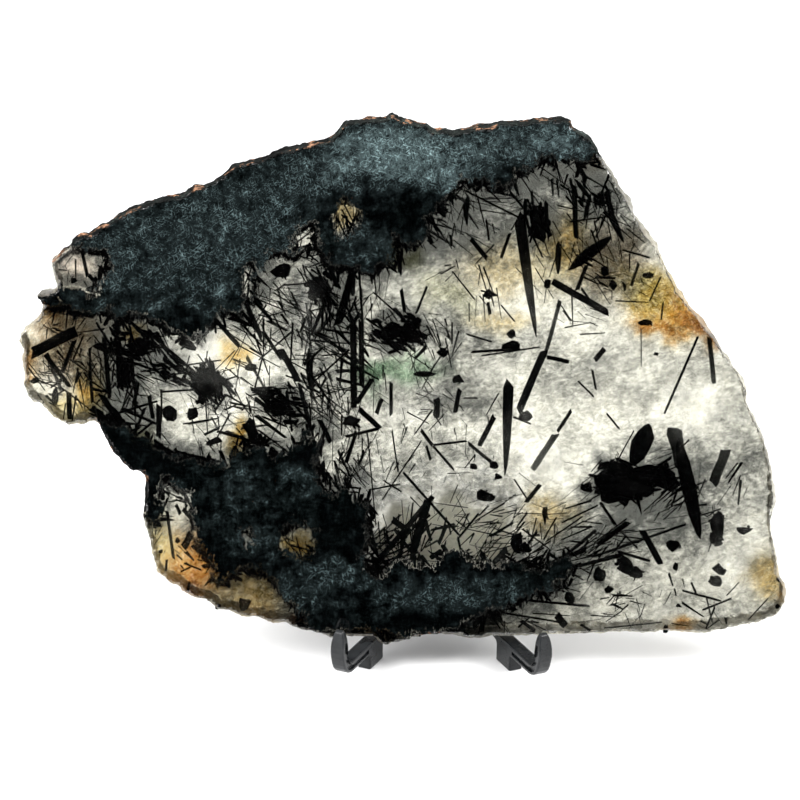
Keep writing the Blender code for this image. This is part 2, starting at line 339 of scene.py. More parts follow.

# %% [markdown]
# ## Stains and clouds
#
# Iron has stained the quartz yellow, orange and rust near its edges, and some of the crystals make it
# green. Fluid-filled veils make it milky. Each is a soft patch: a middle, a reach across and up, a turn,
# a strength and, for a stain, a given colour. The places are warped before the patches are looked
# up, so that no patch is a plain ellipse. Clouds make the quartz white and shades make it grey. Haze is the
# pale bloom on the felt, and the milk is a dense white patch deep in the stone, in front of the easel.

# %% Patches
ORANGE, DEEP_ORANGE, RUST = (0.80, 0.55, 0.21), (0.68, 0.42, 0.14), (0.40, 0.20, 0.09)
YELLOW, OCHRE, CREAM = (0.84, 0.66, 0.26), (0.50, 0.34, 0.13), (0.94, 0.87, 0.64)
OLIVE, GREEN, PINK = (0.46, 0.46, 0.26), (0.34, 0.52, 0.38), (0.90, 0.72, 0.62)
KHAKI = (0.62, 0.52, 0.30)
STAINS = (
    (196, 566, 38, 34, 20, 0.95, ORANGE), (192, 590, 14, 10, 20, 0.8, RUST),
    (160, 548, 22, 34, 0, 0.8, CREAM), (254, 594, 34, 24, 15, 0.95, KHAKI),
    (268, 616, 20, 8, 15, 0.6, ORANGE), (294, 622, 12, 7, 15, 0.9, RUST),
    (226, 608, 26, 8, 20, 0.6, KHAKI), (354, 600, 9, 5, 0, 0.8, OCHRE), (373, 600, 8, 5, 0, 0.8, OCHRE),
    (372, 638, 28, 9, 0, 0.9, OCHRE), (27, 366, 10, 16, 0, 0.95, ORANGE),
    (46, 308, 22, 12, 30, 0.8, ORANGE), (86, 396, 14, 24, 0, 0.9, YELLOW),
    (60, 412, 34, 14, 0, 0.7, CREAM), (66, 340, 40, 40, 0, 0.5, OCHRE), (132, 332, 10, 8, 0, 0.7, YELLOW),
    (155, 306, 8, 8, 0, 0.6, PINK), (236, 354, 14, 16, 0, 0.6, YELLOW),
    (239, 440, 8, 20, 10, 0.85, YELLOW), (135, 442, 14, 12, 0, 0.6, OLIVE),
    (654, 300, 26, 28, 25, 0.9, YELLOW), (676, 310, 30, 24, 30, 0.9, YELLOW),
    (646, 328, 20, 7, 10, 0.95, ORANGE), (668, 334, 16, 7, 10, 0.95, ORANGE),
    (690, 320, 26, 14, 30, 0.8, ORANGE), (706, 330, 16, 12, 40, 0.9, DEEP_ORANGE),
    (716, 340, 8, 8, 40, 0.7, RUST), (640, 286, 30, 18, 20, 0.6, OLIVE),
    (566, 244, 20, 28, 0, 0.6, YELLOW), (560, 270, 40, 26, 0, 0.25, CREAM),
    (612, 262, 34, 34, 0, 0.4, OCHRE), (500, 268, 40, 26, 0, 0.3, YELLOW),
    (450, 296, 34, 18, 30, 0.35, OLIVE), (404, 256, 16, 12, 0, 0.6, OLIVE),
    (404, 370, 40, 12, 0, 0.55, GREEN), (372, 376, 16, 16, 0, 0.7, GREEN),
    (500, 322, 26, 12, 0, 0.3, YELLOW), (547, 516, 26, 20, 0, 0.4, YELLOW),
    (765, 575, 18, 22, 0, 0.55, YELLOW), (786, 590, 8, 10, 0, 0.9, ORANGE),
    (680, 629, 18, 6, 0, 0.8, ORANGE), (598, 150, 16, 18, 40, 0.5, OCHRE),
    (346, 214, 14, 12, 0, 0.5, YELLOW), (298, 546, 18, 14, 0, 0.8, YELLOW),
    (76, 266, 24, 18, 0, 0.25, PINK),
)
# middle across and down, reach across and down, turn in degrees, strength
CLOUDS = (
    (420, 462, 76, 44, -10, 0.35), (226, 412, 42, 34, 0, 0.5), (300, 350, 40, 40, 0, 0.3),
    (180, 552, 46, 46, 0, 0.8), (254, 596, 40, 24, 15, 0.6), (660, 296, 40, 34, 0, 0.5),
    (400, 376, 60, 40, 0, 0.4), (640, 400, 80, 50, -10, 0.2), (560, 470, 60, 40, -20, 0.5),
    (700, 420, 50, 40, 20, 0.6), (520, 300, 60, 30, 0, 0.5), (444, 280, 36, 24, 0, 0.5),
    (740, 560, 40, 60, 0, 0.6), (660, 600, 90, 30, 0, 0.3), (630, 622, 90, 14, 0, 0.5),
    (600, 330, 60, 30, 0, 0.4), (520, 440, 40, 40, 0, 0.5), (650, 240, 30, 40, 30, 0.3),
    (178, 498, 14, 16, 0, 0.8), (215, 362, 56, 30, 10, 1.0), (310, 310, 14, 40, 10, 0.9),
    (50, 396, 40, 30, 0, 0.7), (38, 330, 24, 14, 0, 0.8), (75, 262, 22, 14, 0, 0.7),
    (408, 412, 30, 16, 0, 0.6), (490, 372, 30, 16, 0, 0.5),
)
# painted shade: soft grey patches that darken the quartz, many of them round dark crystals and masses
SHADES = (
    (400, 396, 70, 22, 0, 0.45), (460, 396, 50, 30, 0, 0.5), (600, 205, 56, 56, 20, 0.6),
    (570, 255, 80, 44, 0, 0.3), (480, 546, 120, 18, -5, 0.2), (360, 520, 26, 40, 0, 0.5),
    (600, 540, 70, 26, -20, 0.65), (560, 350, 60, 20, 0, 0.35), (640, 590, 60, 30, 30, 0.35),
    (200, 432, 50, 10, 10, 0.2), (122, 380, 36, 60, 0, 0.35), (280, 290, 50, 30, 0, 0.3),
    (316, 322, 36, 40, 0, 0.9), (258, 594, 30, 20, 0, 0.3), (520, 512, 54, 24, 0, 0.4),
    (340, 380, 40, 70, 0, 0.4), (672, 476, 52, 44, 0, 0.75), (694, 500, 30, 50, 0, 0.45),
    (640, 520, 50, 34, 0, 0.5), (700, 640, 100, 14, 0, 0.1), (560, 630, 100, 20, 0, 0.1),
    (430, 250, 50, 36, 0, 0.7), (480, 210, 80, 34, 0, 0.65), (86, 350, 40, 60, 0, 0.8),
    (560, 180, 54, 26, 0, 0.7), (456, 384, 34, 30, 0, 0.6), (736, 470, 40, 90, -10, 0.35),
    (740, 590, 60, 50, 0, 0.3), (620, 260, 40, 36, 0, 0.35), (430, 330, 50, 26, 0, 0.4),
    (318, 330, 34, 60, 0, 0.5), (440, 474, 80, 40, 0, 0.45), (390, 470, 40, 60, 20, 0.3),
    (520, 600, 60, 20, 0, 0.4), (150, 370, 30, 30, 0, 0.3),
)
HAZE = (
    (392, 150, 60, 34, 0, 1.0), (440, 172, 44, 18, 10, 0.8), (330, 166, 50, 26, -10, 0.55),
    (448, 190, 12, 6, -20, 0.6), (150, 250, 90, 60, -20, 0.36), (250, 220, 70, 50, -20, 0.4),
    (500, 145, 90, 24, -4, 0.6), (570, 140, 40, 20, 0, 0.55), (300, 600, 40, 26, 0, 0.2),
    (470, 590, 90, 20, 0, 0.25), (220, 295, 7, 5, 0, 0.6), (155, 306, 8, 5, 0, 0.8),
    (182, 302, 5, 4, 0, 0.6), (232, 282, 4, 8, 0, 0.6), (240, 500, 60, 40, 0, 0.15),
    (214, 300, 30, 20, 0, 0.2), (300, 480, 24, 14, 30, 0.3), (262, 545, 30, 16, 20, 0.2),
    (330, 575, 40, 18, 0, 0.35), (236, 480, 20, 20, 0, 0.15), (420, 600, 60, 16, 0, 0.2),
    (370, 245, 40, 18, 0, 0.3),
)
MILK = (
    (442, 550, 66, 40, 0, 1.0), (402, 542, 26, 34, 0, 0.7), (484, 542, 26, 34, 0, 0.7),
    (440, 516, 110, 60, 0, 0.3),
)

# %% Looking the patches up
WARP_SIZE, WARP = 24.0, 11.0
WARP_SEED = 15
noise.seed_set(WARP_SEED)  # without a seed, noise_vector starts at another place in every run


def warped(places):
    """The same pixels, each moved by a smooth noise, so that borders wander."""
    moved = places.copy()
    for row, (x, y) in zip(moved, places):
        shift = noise.noise_vector(Vector((x, y, 0)) / WARP_SIZE)
        fine = noise.noise_vector(Vector((x, y, 50)) * 3 / WARP_SIZE)
        row += np.array(shift[:2]) * WARP + np.array(fine[:2]) * WARP / 3
    return moved


def patch(places, x, y, across, down, turn, strength):
    """How much of a patch each place has: its strength in the middle, falling to nothing."""
    angle = radians(turn)
    dx, dy = places[:, 0] - x, places[:, 1] - y
    along, over = dx * cos(angle) + dy * sin(angle), dy * cos(angle) - dx * sin(angle)
    return strength * np.exp(-((along / across) ** 2 + (over / down) ** 2) ** 1.3)


def patches(places, rows):
    """All the patches together, held at 1."""
    clear = np.ones(len(places))
    for row in rows:
        clear *= 1 - patch(places, *row)
    return 1 - clear


print(len(STAINS), "stains,", len(CLOUDS), "clouds,", len(SHADES), "shades")

# %% [markdown]
# ## The slab
#
# The slab starts as a copy of its solid. The solid's faces are long thin triangles, which carry no detail,
# so the copy is turned to lie square, remeshed into even squares of 0.82 mm and turned back when it is
# finished. The two sawn faces are then set exactly flat, because the polish on the real ones is flat, and
# only the rim is roughened, inwards, so that the slab keeps its size.

# %% A close-meshed copy of the slab
SQUARE = 0.82
FLAT_WITHIN = 0.45


def slab_mesh():
    """The slab's solid as an even mesh, in its own millimetres."""
    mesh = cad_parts["quartz_slice"].data.copy()
    mesh.transform(TO_WORLD.inverted())
    bm = bmesh.new()
    bm.from_mesh(mesh)
    bmesh.ops.remove_doubles(bm, verts=bm.verts[:], dist=0.0005)
    bm.to_mesh(mesh)
    bm.free()
    holder = in_scene("slab_copy", mesh)
    remesh = holder.modifiers.new("even", "REMESH")
    remesh.mode = "VOXEL"
    remesh.voxel_size = SQUARE
    even = bpy.data.meshes.new_from_object(holder.evaluated_get(bpy.context.evaluated_depsgraph_get()))
    bpy.data.objects.remove(holder, do_unlink=True)
    return even


# %% A rough rim
RIM_DEEPEST = 1.1
RIM_LUMPS = ((5.5, 0.5), (2.2, 0.35), (1.0, 0.35))


def coordinates(mesh, what="co"):
    """All the points of a mesh, or all their normals, as rows of an array."""
    rows = np.empty(len(mesh.vertices) * 3)
    mesh.vertices.foreach_get(what, rows)
    return rows.reshape(-1, 3)


def roughen_rim(mesh):
    """Sets the sawn faces flat and eats into the rim with three sizes of noise."""
    places, outward = coordinates(mesh), coordinates(mesh, "normal")
    front = (np.abs(places[:, 1]) < FLAT_WITHIN) & (outward[:, 1] < -0.7)
    back = (np.abs(places[:, 1] - THICKNESS) < FLAT_WITHIN) & (outward[:, 1] > 0.7)
    places[front, 1] = 0.0
    places[back, 1] = THICKNESS
    outward[:, 1] = 0.0
    length = np.linalg.norm(outward, axis=1)
    for row in np.nonzero(length > 0.3)[0]:
        place = Vector(places[row])
        eaten = sum(share * (0.5 - noise.noise(place / size)) for size, share in RIM_LUMPS)
        places[row] -= outward[row] / length[row] * max(0.0, min(1.0, eaten)) * RIM_DEEPEST
    mesh.vertices.foreach_set("co", places.reshape(-1))
    mesh.update()


slab = slab_mesh()
roughen_rim(slab)
print("slab mesh:", len(slab.vertices), "points")

# %% Stain colours and painted shade
# how far the painted shade reaches from the felt and from the masses of shards, in pixels
FELT_SHADE_REACH = 26.0
MASS_SHADE_REACH = 11.0


def paint(mesh, name, values):
    layer = mesh.attributes.new(name, "FLOAT", "POINT")
    layer.data.foreach_set("value", np.ascontiguousarray(values, np.float32))


def paint_colour(mesh, name, values):
    layer = mesh.attributes.new(name, "FLOAT_COLOR", "POINT")
    layer.data.foreach_set("color", np.ascontiguousarray(values, np.float32).reshape(-1))


def stain_colours(where):
    """White where the quartz is clean, and towards each stain's colour where it isn't."""
    colours = np.ones((len(where), 4))
    for *row, colour in STAINS:
        share = patch(where, *row)[:, None]
        colours[:, :3] = colours[:, :3] * (1 - share) + np.array(colour) * share
    return colours


def halo_shade_near_felt(where):
    """Painted shade: 1 at the felt's outer border, falling to nothing away from it, and nothing in its
    windows.
    """
    felt = np.max([distance_inside(where, outline) for outline in FELT.values()], axis=0)
    mass = np.max([distance_inside(where, outline) for _, _, outline in MASSES.values()], axis=0)
    near_felt = np.where(felt < 0, np.clip(1 + felt / FELT_SHADE_REACH, 0, 1), 0)
    return np.maximum(near_felt, np.clip(1 + mass / MASS_SHADE_REACH, 0, 1) * 0.9)


# %% Painting the slab's points
SAWN_FADE = 0.9
BACK_SHIFT = 7.0  # the masses don't come out of the back face quite where they go in at the front
points = coordinates(slab)
places = pixels_of(points)
wandering = warped(places)
through = np.clip(points[:, 1] / THICKNESS, 0, 1)
facing_out = np.clip((np.abs(coordinates(slab, "normal")[:, 1]) - 0.8) / 0.15, 0, 1)
felt_places = places * 0.55 + wandering * 0.45 + BACK_SHIFT * through[:, None] * np.array((0.3, -1.0))
under_polish = np.minimum(points[:, 1], THICKNESS - points[:, 1])
paint(slab, "felt", felt_depth(felt_places))
# clouds, painted shade, haze and milk, each laid on as patches
for name, rows in (("cloud", CLOUDS), ("shade", SHADES), ("haze", HAZE), ("milk", MILK)):
    paint(slab, name, patches(wandering, rows))
# painted shade round the felt and round the masses of shards
paint(slab, "halo_shade", halo_shade_near_felt(wandering))
paint(slab, "sawn", np.clip(1 - under_polish / SAWN_FADE, 0, 1) * facing_out)
paint(slab, "behind", through)
paint_colour(slab, "stain", stain_colours(wandering))
print("painted:", [layer.name for layer in slab.attributes if layer.data_type != "INT32_2D"])

# %% [markdown]
# ## The stone's finish
#
# The quartz is see-through by transmission, with quartz's own index of refraction and a little absorption.
# It isn't water-clear: light spreads as it goes in, so that deep crystals are soft while those under the
# polish are crisp, and a clear coat on top keeps the polish glossy. The milk lies deep, so it is painted on
# the back face, where every crystal stands dark against it. The felt is opaque, and so is most of the rind.

# %% The felt's finish
def felt_share(tree, place, leaning):
    """Where the felt is: the painted distance to its border, frayed by coarse and stringy noise."""
    ragged = straight(grain(place, 4.0, 5, 0.65), 0.3, 0.7, -7.0, 7.0)
    stringy = straight(grain(leaning, 1.1, 2, 0.5, 1.0), 0.3, 0.7, -3.5, 3.5)
    frayed = plus(plus(painted(tree, "felt"), ragged), stringy)
    return between(frayed, -0.7, 0.7)


TEAL = (0.51, 0.73, 0.75)  # the felt's colour at full light, scaled down by how light each spot is
FIBRE_TURNS = (15, 75, 130)  # which ways most of its fibres lie, in degrees


def felt_paint(tree, place):
    """Short green-grey fibres on near black, much lighter where a blue-grey haze lies on the top."""
    mottle = grain(place, 4.0, 6, 0.72)
    pale, black = 0.0, 1.0
    for turn in FIBRE_TURNS:
        strokes = grain(slab_millimetres(tree, (2.6, 1.0, 0.5), turn), 1.0, 2, 0.6, 0.6)
        pale = larger(pale, between(strokes, 0.56, 0.70))
        black = times(black, between(strokes, 0.30, 0.42, 0.3, 1.0))

    hazy = plus(painted(tree, "haze"), straight(mottle, 0.3, 0.7, -0.2, 0.2))
    light = plus(between(hazy, 0.0, 0.45, 0.0018, 0.0205), between(hazy, 0.42, 1.1, 0.0, 0.08))
    light = times(light, straight(mottle, 0.36, 0.64, 0.36, 1.5))
    brightest = between(grain(place, 6.0, 4, 0.6, 1.0), 0.40, 0.60, 1.6, 6.2)
    softer = times(between(hazy, 0.1, 0.4, 0.4, 1.0), between(hazy, 0.4, 0.9, 1.0, 0.55))
    brightest = times(brightest, softer)
    light = times(times(light, plus(times(pale, brightest), 0.8)), black)
    return blend(light, (0, 0, 0), TEAL)


# %% The quartz's tint and its rind
def quartz_paint(tree, place, cloud):
    """Dim where it is clear, white where it is milky or cracked, greyed by painted shade near the felt, and
    stained.
    """
    feathery = slab_millimetres(tree, (0.75, 1.0, 1.15), 12)
    veils = grain(feathery, 1.7, 7, 0.78, 0.8)
    billows = grain(place, 11.0, 4, 0.6, 0.6)
    dim = blend(between(veils, 0.38, 0.62), (0.66, 0.65, 0.55), (0.97, 0.96, 0.83))
    cracks = larger(threads(feathery, 3.6, 0.04), threads(place, 7.0, 0.03, 1.2))
    cracks = times(cracks, between(veils, 0.42, 0.60, 0.0, 0.8))
    clear = blend(larger(between(cloud, 0.0, 0.8), cracks), dim, (1.0, 0.99, 0.88))

    # painted shade near the felt, near the masses and under the shade patches, with random billows and
    # veils, greys the clear quartz
    shade_and_mottle = plus(painted(tree, "halo_shade"), painted(tree, "shade"))
    shade_and_mottle = plus(shade_and_mottle, straight(billows, 0.36, 0.64, 1.36, 0.46))
    shade_and_mottle = plus(shade_and_mottle, straight(veils, 0.36, 0.64, 0.45, -0.45))
    milk = painted(tree, "milk")
    bright = plus(painted(tree, "cloud"), between(milk, 0.25, 0.85, 0.0, 2.2))
    shade_and_mottle = minus(shade_and_mottle, times(bright, 0.95))
    clear = tinted(clear, (0.12, 0.125, 0.13), straight(shade_and_mottle, 0.0, 1.6, 0.0, 1.0))
    deep_white = times(between(milk, 0.0, 0.6), painted(tree, "behind"))
    clear = blend(deep_white, clear, (1.0, 1.0, 0.96))

    crumbs = grain(place, 1.1, 5, 0.75)
    stain = painted(tree, "stain", "Color")
    deeper = tinted(stain, stain)
    deepest = tinted(deeper, deeper)
    clean = grain(place, 2.6, 5, 0.7)
    stain = blend(between(crumbs, 0.46, 0.54), stain, deeper)
    stain = blend(between(clean, 0.52, 0.60, 0.0, 0.55), stain, (1.0, 0.98, 0.88))
    stain = blend(times(threads(place, 2.4, 0.12), 0.95), stain, deepest)
    return tinted(clear, stain)


def rind_paint(tree, place, felt, felted, quartz, stain):
    """Dark rind with rust slivers where the stone is felted, and pale crusty quartz elsewhere."""
    coarse, fine = grain(place, 6.0, 6, 0.7), grain(place, 1.8, 5, 0.65)
    rust = blend(between(fine, 0.36, 0.64), (0.05, 0.028, 0.018), (0.50, 0.27, 0.16))
    earth = blend(between(coarse, 0.56, 0.60), tinted(felted, (0.9, 0.8, 0.7)), rust)
    pale = blend(between(fine, 0.40, 0.62), (0.52, 0.47, 0.35), (1.0, 0.97, 0.86))
    # the pale crust takes a little of the quartz's colour, its painted shade included
    pale = tinted(tinted(pale, stain, 0.5), quartz, 0.35)
    return blend(felt, pale, earth)


# %% How much light the stone lets through
def light_passed(tree, cloud, billows, felt, sawn_face):
    """Nearly all at the front, less at the back where it is milky, and none through the felt."""
    at_front = straight(cloud, 0.0, 1.0, 1.0, 0.97)
    at_back = straight(cloud, 0.0, 1.0, 0.96, 0.72)
    ragged_milk = plus(painted(tree, "milk"), straight(billows, 0.36, 0.64, -0.2, 0.2))
    at_back = times(at_back, between(ragged_milk, 0.0, 0.7, 1.0, 0.0))
    deep_milk = times(minus(at_back, at_front), painted(tree, "behind"))
    through_rind = straight(sawn_face, 0.0, 1.0, 0.9, 1.0)
    return times(times(plus(at_front, deep_milk), rest_of(felt)), through_rind)


# %% Polished quartz with felt, clouds and stains
COAT_ROUGHNESS = 0.03
ABSORBED, ABSORPTION = (0.93, 0.92, 0.89, 1), 40


def stone_finish():
    material, tree, shader = new_finish("polished_quartz")
    place = slab_millimetres(tree)
    leaning = slab_millimetres(tree, (1.6, 0.5, 0.6))
    felt = felt_share(tree, place, leaning)
    billows = grain(place, 7.0, 5, 0.62)
    cloud = plus(painted(tree, "cloud"), straight(billows, 0.3, 0.7, -0.5, 0.5))
    cloud = between(cloud, 0.1, 1.1)
    chips = straight(grain(place, 1.6, 4, 0.6), 0.3, 0.7, -0.2, 0.2)
    sawn_face = between(plus(painted(tree, "sawn"), chips), 0.55, 0.85)

    felted = felt_paint(tree, place)
    quartz = quartz_paint(tree, place, cloud)
    body = blend(felt, quartz, felted)
    rind = rind_paint(tree, place, felt, felted, quartz, painted(tree, "stain", "Color"))
    tree.links.new(blend(sawn_face, rind, body), shader.inputs["Base Color"])

    passed = light_passed(tree, cloud, billows, felt, sawn_face)
    tree.links.new(passed, shader.inputs["Transmission Weight"])

    spread = straight(cloud, 0.0, 1.0, 0.14, 0.26)
    unpolished = rest_of(sawn_face)
    rough = times(unpolished, straight(felt, 0.0, 1.0, 0.30, 0.95))
    tree.links.new(larger(spread, rough), shader.inputs["Roughness"])
    shader.inputs["IOR"].default_value = QUARTZ_IOR
    shader.inputs["Specular IOR Level"].default_value = 0.1  # the coat carries the gloss
    tree.links.new(sawn_face, shader.inputs["Coat Weight"])
    shader.inputs["Coat Roughness"].default_value = COAT_ROUGHNESS
    shader.inputs["Coat IOR"].default_value = QUARTZ_IOR

    pits = grain(place, 0.8, 5, 0.7)
    relief(shader, times(pits, unpolished), 0.5 * MM, 0.7)
    absorbing = node(tree, "ShaderNodeVolumeAbsorption", {"Color": ABSORBED, "Density": ABSORPTION})
    tree.links.new(absorbing.outputs[0], tree.nodes["Material Output"].inputs["Volume"])
    return material


stone = stone_finish()
slab.transform(TO_WORLD)
slab.name = "quartz_slab"
slab.materials.clear()
slab.materials.append(stone)
slab.shade_smooth()
slab_piece = in_scene("quartz_slab", slab)
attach(slab_piece, "root")
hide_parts("quartz_slice")
print("slab:", len(slab.polygons), "faces")

# %% [markdown]
# ## Tourmaline crystals
#
# Tourmaline grows as long prisms with a rounded triangular section and fine grooves along their sides, as
# flat blades where two prisms grew side by side, and as broken lumps. One function makes them all: a cone
# tool's plain cylinder, cut across into rings, whose rings then get their own width. A list of widths is
# the crystal's outline from end to end.

# %% One crystal
PRISM = (0.88, 1.0, 0.94, 1.0, 0.96, 0.8)
BLADE = (0.1, 0.42, 0.9, 1.0, 0.8, 0.38, 0.06)
TAPER = (0.5, 1.0, 0.95, 0.72, 0.36, 0.08)
BROKEN = (0.6, 1.0, 0.82, 1.0, 0.7)
SLANT = 1.1  # how far a broken end runs along the crystal for each millimetre across it
FRONT_SKIN, BACK_SKIN = 0.28, 0.35


def crystal_template(sides, rings):
    """A plain cylinder one unit long and wide, cut across into rings that crowd towards its ends."""
    bm = bmesh.new()
    bmesh.ops.create_cone(
        bm, cap_ends=True, cap_tris=False, segments=sides, radius1=0.5, radius2=0.5, depth=1.0
    )
    for step in range(1, rings - 1):
        everything = bm.verts[:] + bm.edges[:] + bm.faces[:]
        height = -0.5 * cos(pi * step / (rings - 1))
        bmesh.ops.bisect_plane(bm, geom=everything, plane_co=(0, 0, height), plane_no=(0, 0, 1))
    mesh = bpy.data.meshes.new("crystal_template")
    bm.to_mesh(mesh)
    bm.free()
    places = coordinates(mesh)
    ring = np.rint(np.arccos(np.clip(-2 * places[:, 2], -1, 1)) / pi * (rings - 1)).astype(int)
    side = np.rint(np.arctan2(places[:, 1], places[:, 0]) / (2 * pi) * sides).astype(int) % sides
    return mesh, places, ring, side


# %% Placing one crystal
# painted haze: a deep crystal's colour is painted paler, standing in for light scattered by the quartz in
# front of it
PAINTED_HAZE_DEPTHS = (2.2, 9.0)  # quartz in front of a crystal pales it, from the first depth to the second
PAINTED_HAZE = 0.55
OWN_TONE = 0.08
tones_and_haze = []


def crystal(bm, template, start, end, width, outline, flat, dice):
    """Adds a crystal from start to end, in the slab's millimetres. flat is its depth over its width."""
    mesh, places, ring, side = template
    along = end - start
    grooves = np.array([dice.uniform(0.8, 1.0) for _ in range(side.max() + 1)])
    bent = np.array([dice.uniform(-0.03, 0.03) for _ in outline])
    size = width * np.array(outline)[ring] * grooves[side]
    shape = places * np.stack((size, size * flat, np.full(len(size), along.length)), axis=1)
    shape[:, 0] += bent[ring] * width
    for tip, inward in ((0, 1), (len(outline) - 1, -1)):
        slanted = shape[ring == tip, 0] * dice.uniform(-SLANT, SLANT)
        shape[ring == tip, 2] += slanted + inward * np.abs(slanted).max()
    axis = along.normalized()
    sideways = axis.cross(Vector((0, 1, 0)))
    sideways = sideways.normalized() if sideways.length > 0.05 else Vector((1, 0, 0))
    turned = np.array((sideways, axis.cross(sideways), axis))
    middle = np.array((start + end) / 2)
    placed = shape @ turned + middle
    # painted haze: the deeper a point lies, the paler its colour is painted
    deep = np.clip((placed[:, 1] - PAINTED_HAZE_DEPTHS[0]) / (PAINTED_HAZE_DEPTHS[1] - PAINTED_HAZE_DEPTHS[0]), 0, 1)
    tones_and_haze.append(np.clip(dice.random() ** 3 * OWN_TONE + deep * PAINTED_HAZE, 0, 1))
    mesh.vertices.foreach_set("co", placed.reshape(-1))
    bm.from_mesh(mesh)


def held_inside(place, half):
    """The place with its depth set so that half its thickness stays inside the slab."""
    place.y = min(max(place.y, FRONT_SKIN + half), THICKNESS - BACK_SKIN - half)
    return place


# %% [markdown]
# ## The crystals that can be told apart
#
# About 180 crystals and 66 broken lumps stand out one by one. Each row of these lists is one of them as it
# was read off the photograph. A crystal's row says where it starts and ends, its width in pixels, and how
# deep it lies at both ends, in millimetres. Sharp black ones lie just under the polish, soft ones deep,
# greyed by painted haze.

# %% Large crystals
BLADES = (
    (519, 213, 536, 338, 13, 1.2, 1.2, TAPER), (558, 241, 558, 275, 7, 1.0, 1.0, BLADE),
    (569, 270, 612, 236, 13, 1.0, 3.5, BLADE), (552, 281, 610, 314, 9, 1.0, 1.4, PRISM),
    (509, 378, 505, 476, 13, 0.9, 5.5, TAPER), (545, 348, 517, 414, 9, 1.2, 1.6, PRISM),
    (650, 424, 632, 466, 24, 0.9, 1.4, BLADE), (594, 484, 660, 474, 26, 1.0, 1.4, BROKEN),
    (600, 496, 648, 490, 20, 1.2, 1.6, BROKEN), (604, 466, 632, 474, 18, 1.0, 1.4, BROKEN),
    (640, 476, 680, 488, 16, 2.0, 4.0, BROKEN), (672, 426, 684, 470, 18, 3.0, 6.0, BROKEN),
    (678, 438, 700, 540, 17, 0.9, 1.3, BLADE), (727, 448, 712, 486, 12, 6.5, 4.5, PRISM),
    (355, 264, 337, 327, 10, 1.2, 1.4, PRISM), (353, 320, 354, 408, 8, 1.0, 1.2, PRISM),
    (361, 318, 362, 390, 6, 1.6, 1.6, PRISM), (309, 432, 309, 497, 12, 1.0, 1.2, PRISM),
    (22, 358, 77, 330, 13, 0.9, 1.2, PRISM), (309, 348, 311, 392, 8, 1.0, 1.4, BLADE),
    (428, 500, 411, 558, 9, 1.6, 2.0, PRISM), (433, 496, 362, 580, 6, 1.0, 2.4, PRISM),
    (536, 204, 538, 244, 18, 1.2, 3.0, BROKEN), (280, 348, 300, 384, 7, 1.0, 1.0, PRISM),
    (299, 382, 325, 484, 5.5, 1.0, 2.2, TAPER), (366, 502, 340, 542, 22, 1.0, 1.4, BLADE),
    (574, 184, 576, 240, 6, 1.4, 3.0, PRISM), (641, 528, 661, 565, 7, 0.9, 1.0, PRISM),
    (630, 521, 597, 545, 6, 0.9, 1.6, PRISM), (437, 396, 437, 418, 8, 2.5, 3.5, BROKEN),
    (246, 598, 240, 620, 14, 0.9, 1.0, TAPER), (192, 531, 183, 549, 9, 0.9, 1.2, BROKEN),
    (45, 354, 71, 388, 5, 1.0, 2.0, PRISM), (398, 325, 378, 336, 12, 1.2, 1.8, BLADE),
    (420, 318, 395, 350, 10, 1.2, 2.0, BROKEN), (606, 190, 612, 216, 7, 1.4, 2.6, BROKEN),
    (608, 210, 624, 243, 8, 1.4, 1.8, TAPER), (566, 592, 573, 604, 11, 1.5, 3.0, BLADE),
    (556, 614, 572, 634, 9, 2.5, 4.5, PRISM), (246, 418, 258, 446, 14, 0.9, 1.0, BROKEN),
    (413, 374, 436, 374, 7, 2.0, 2.0, BLADE),
)
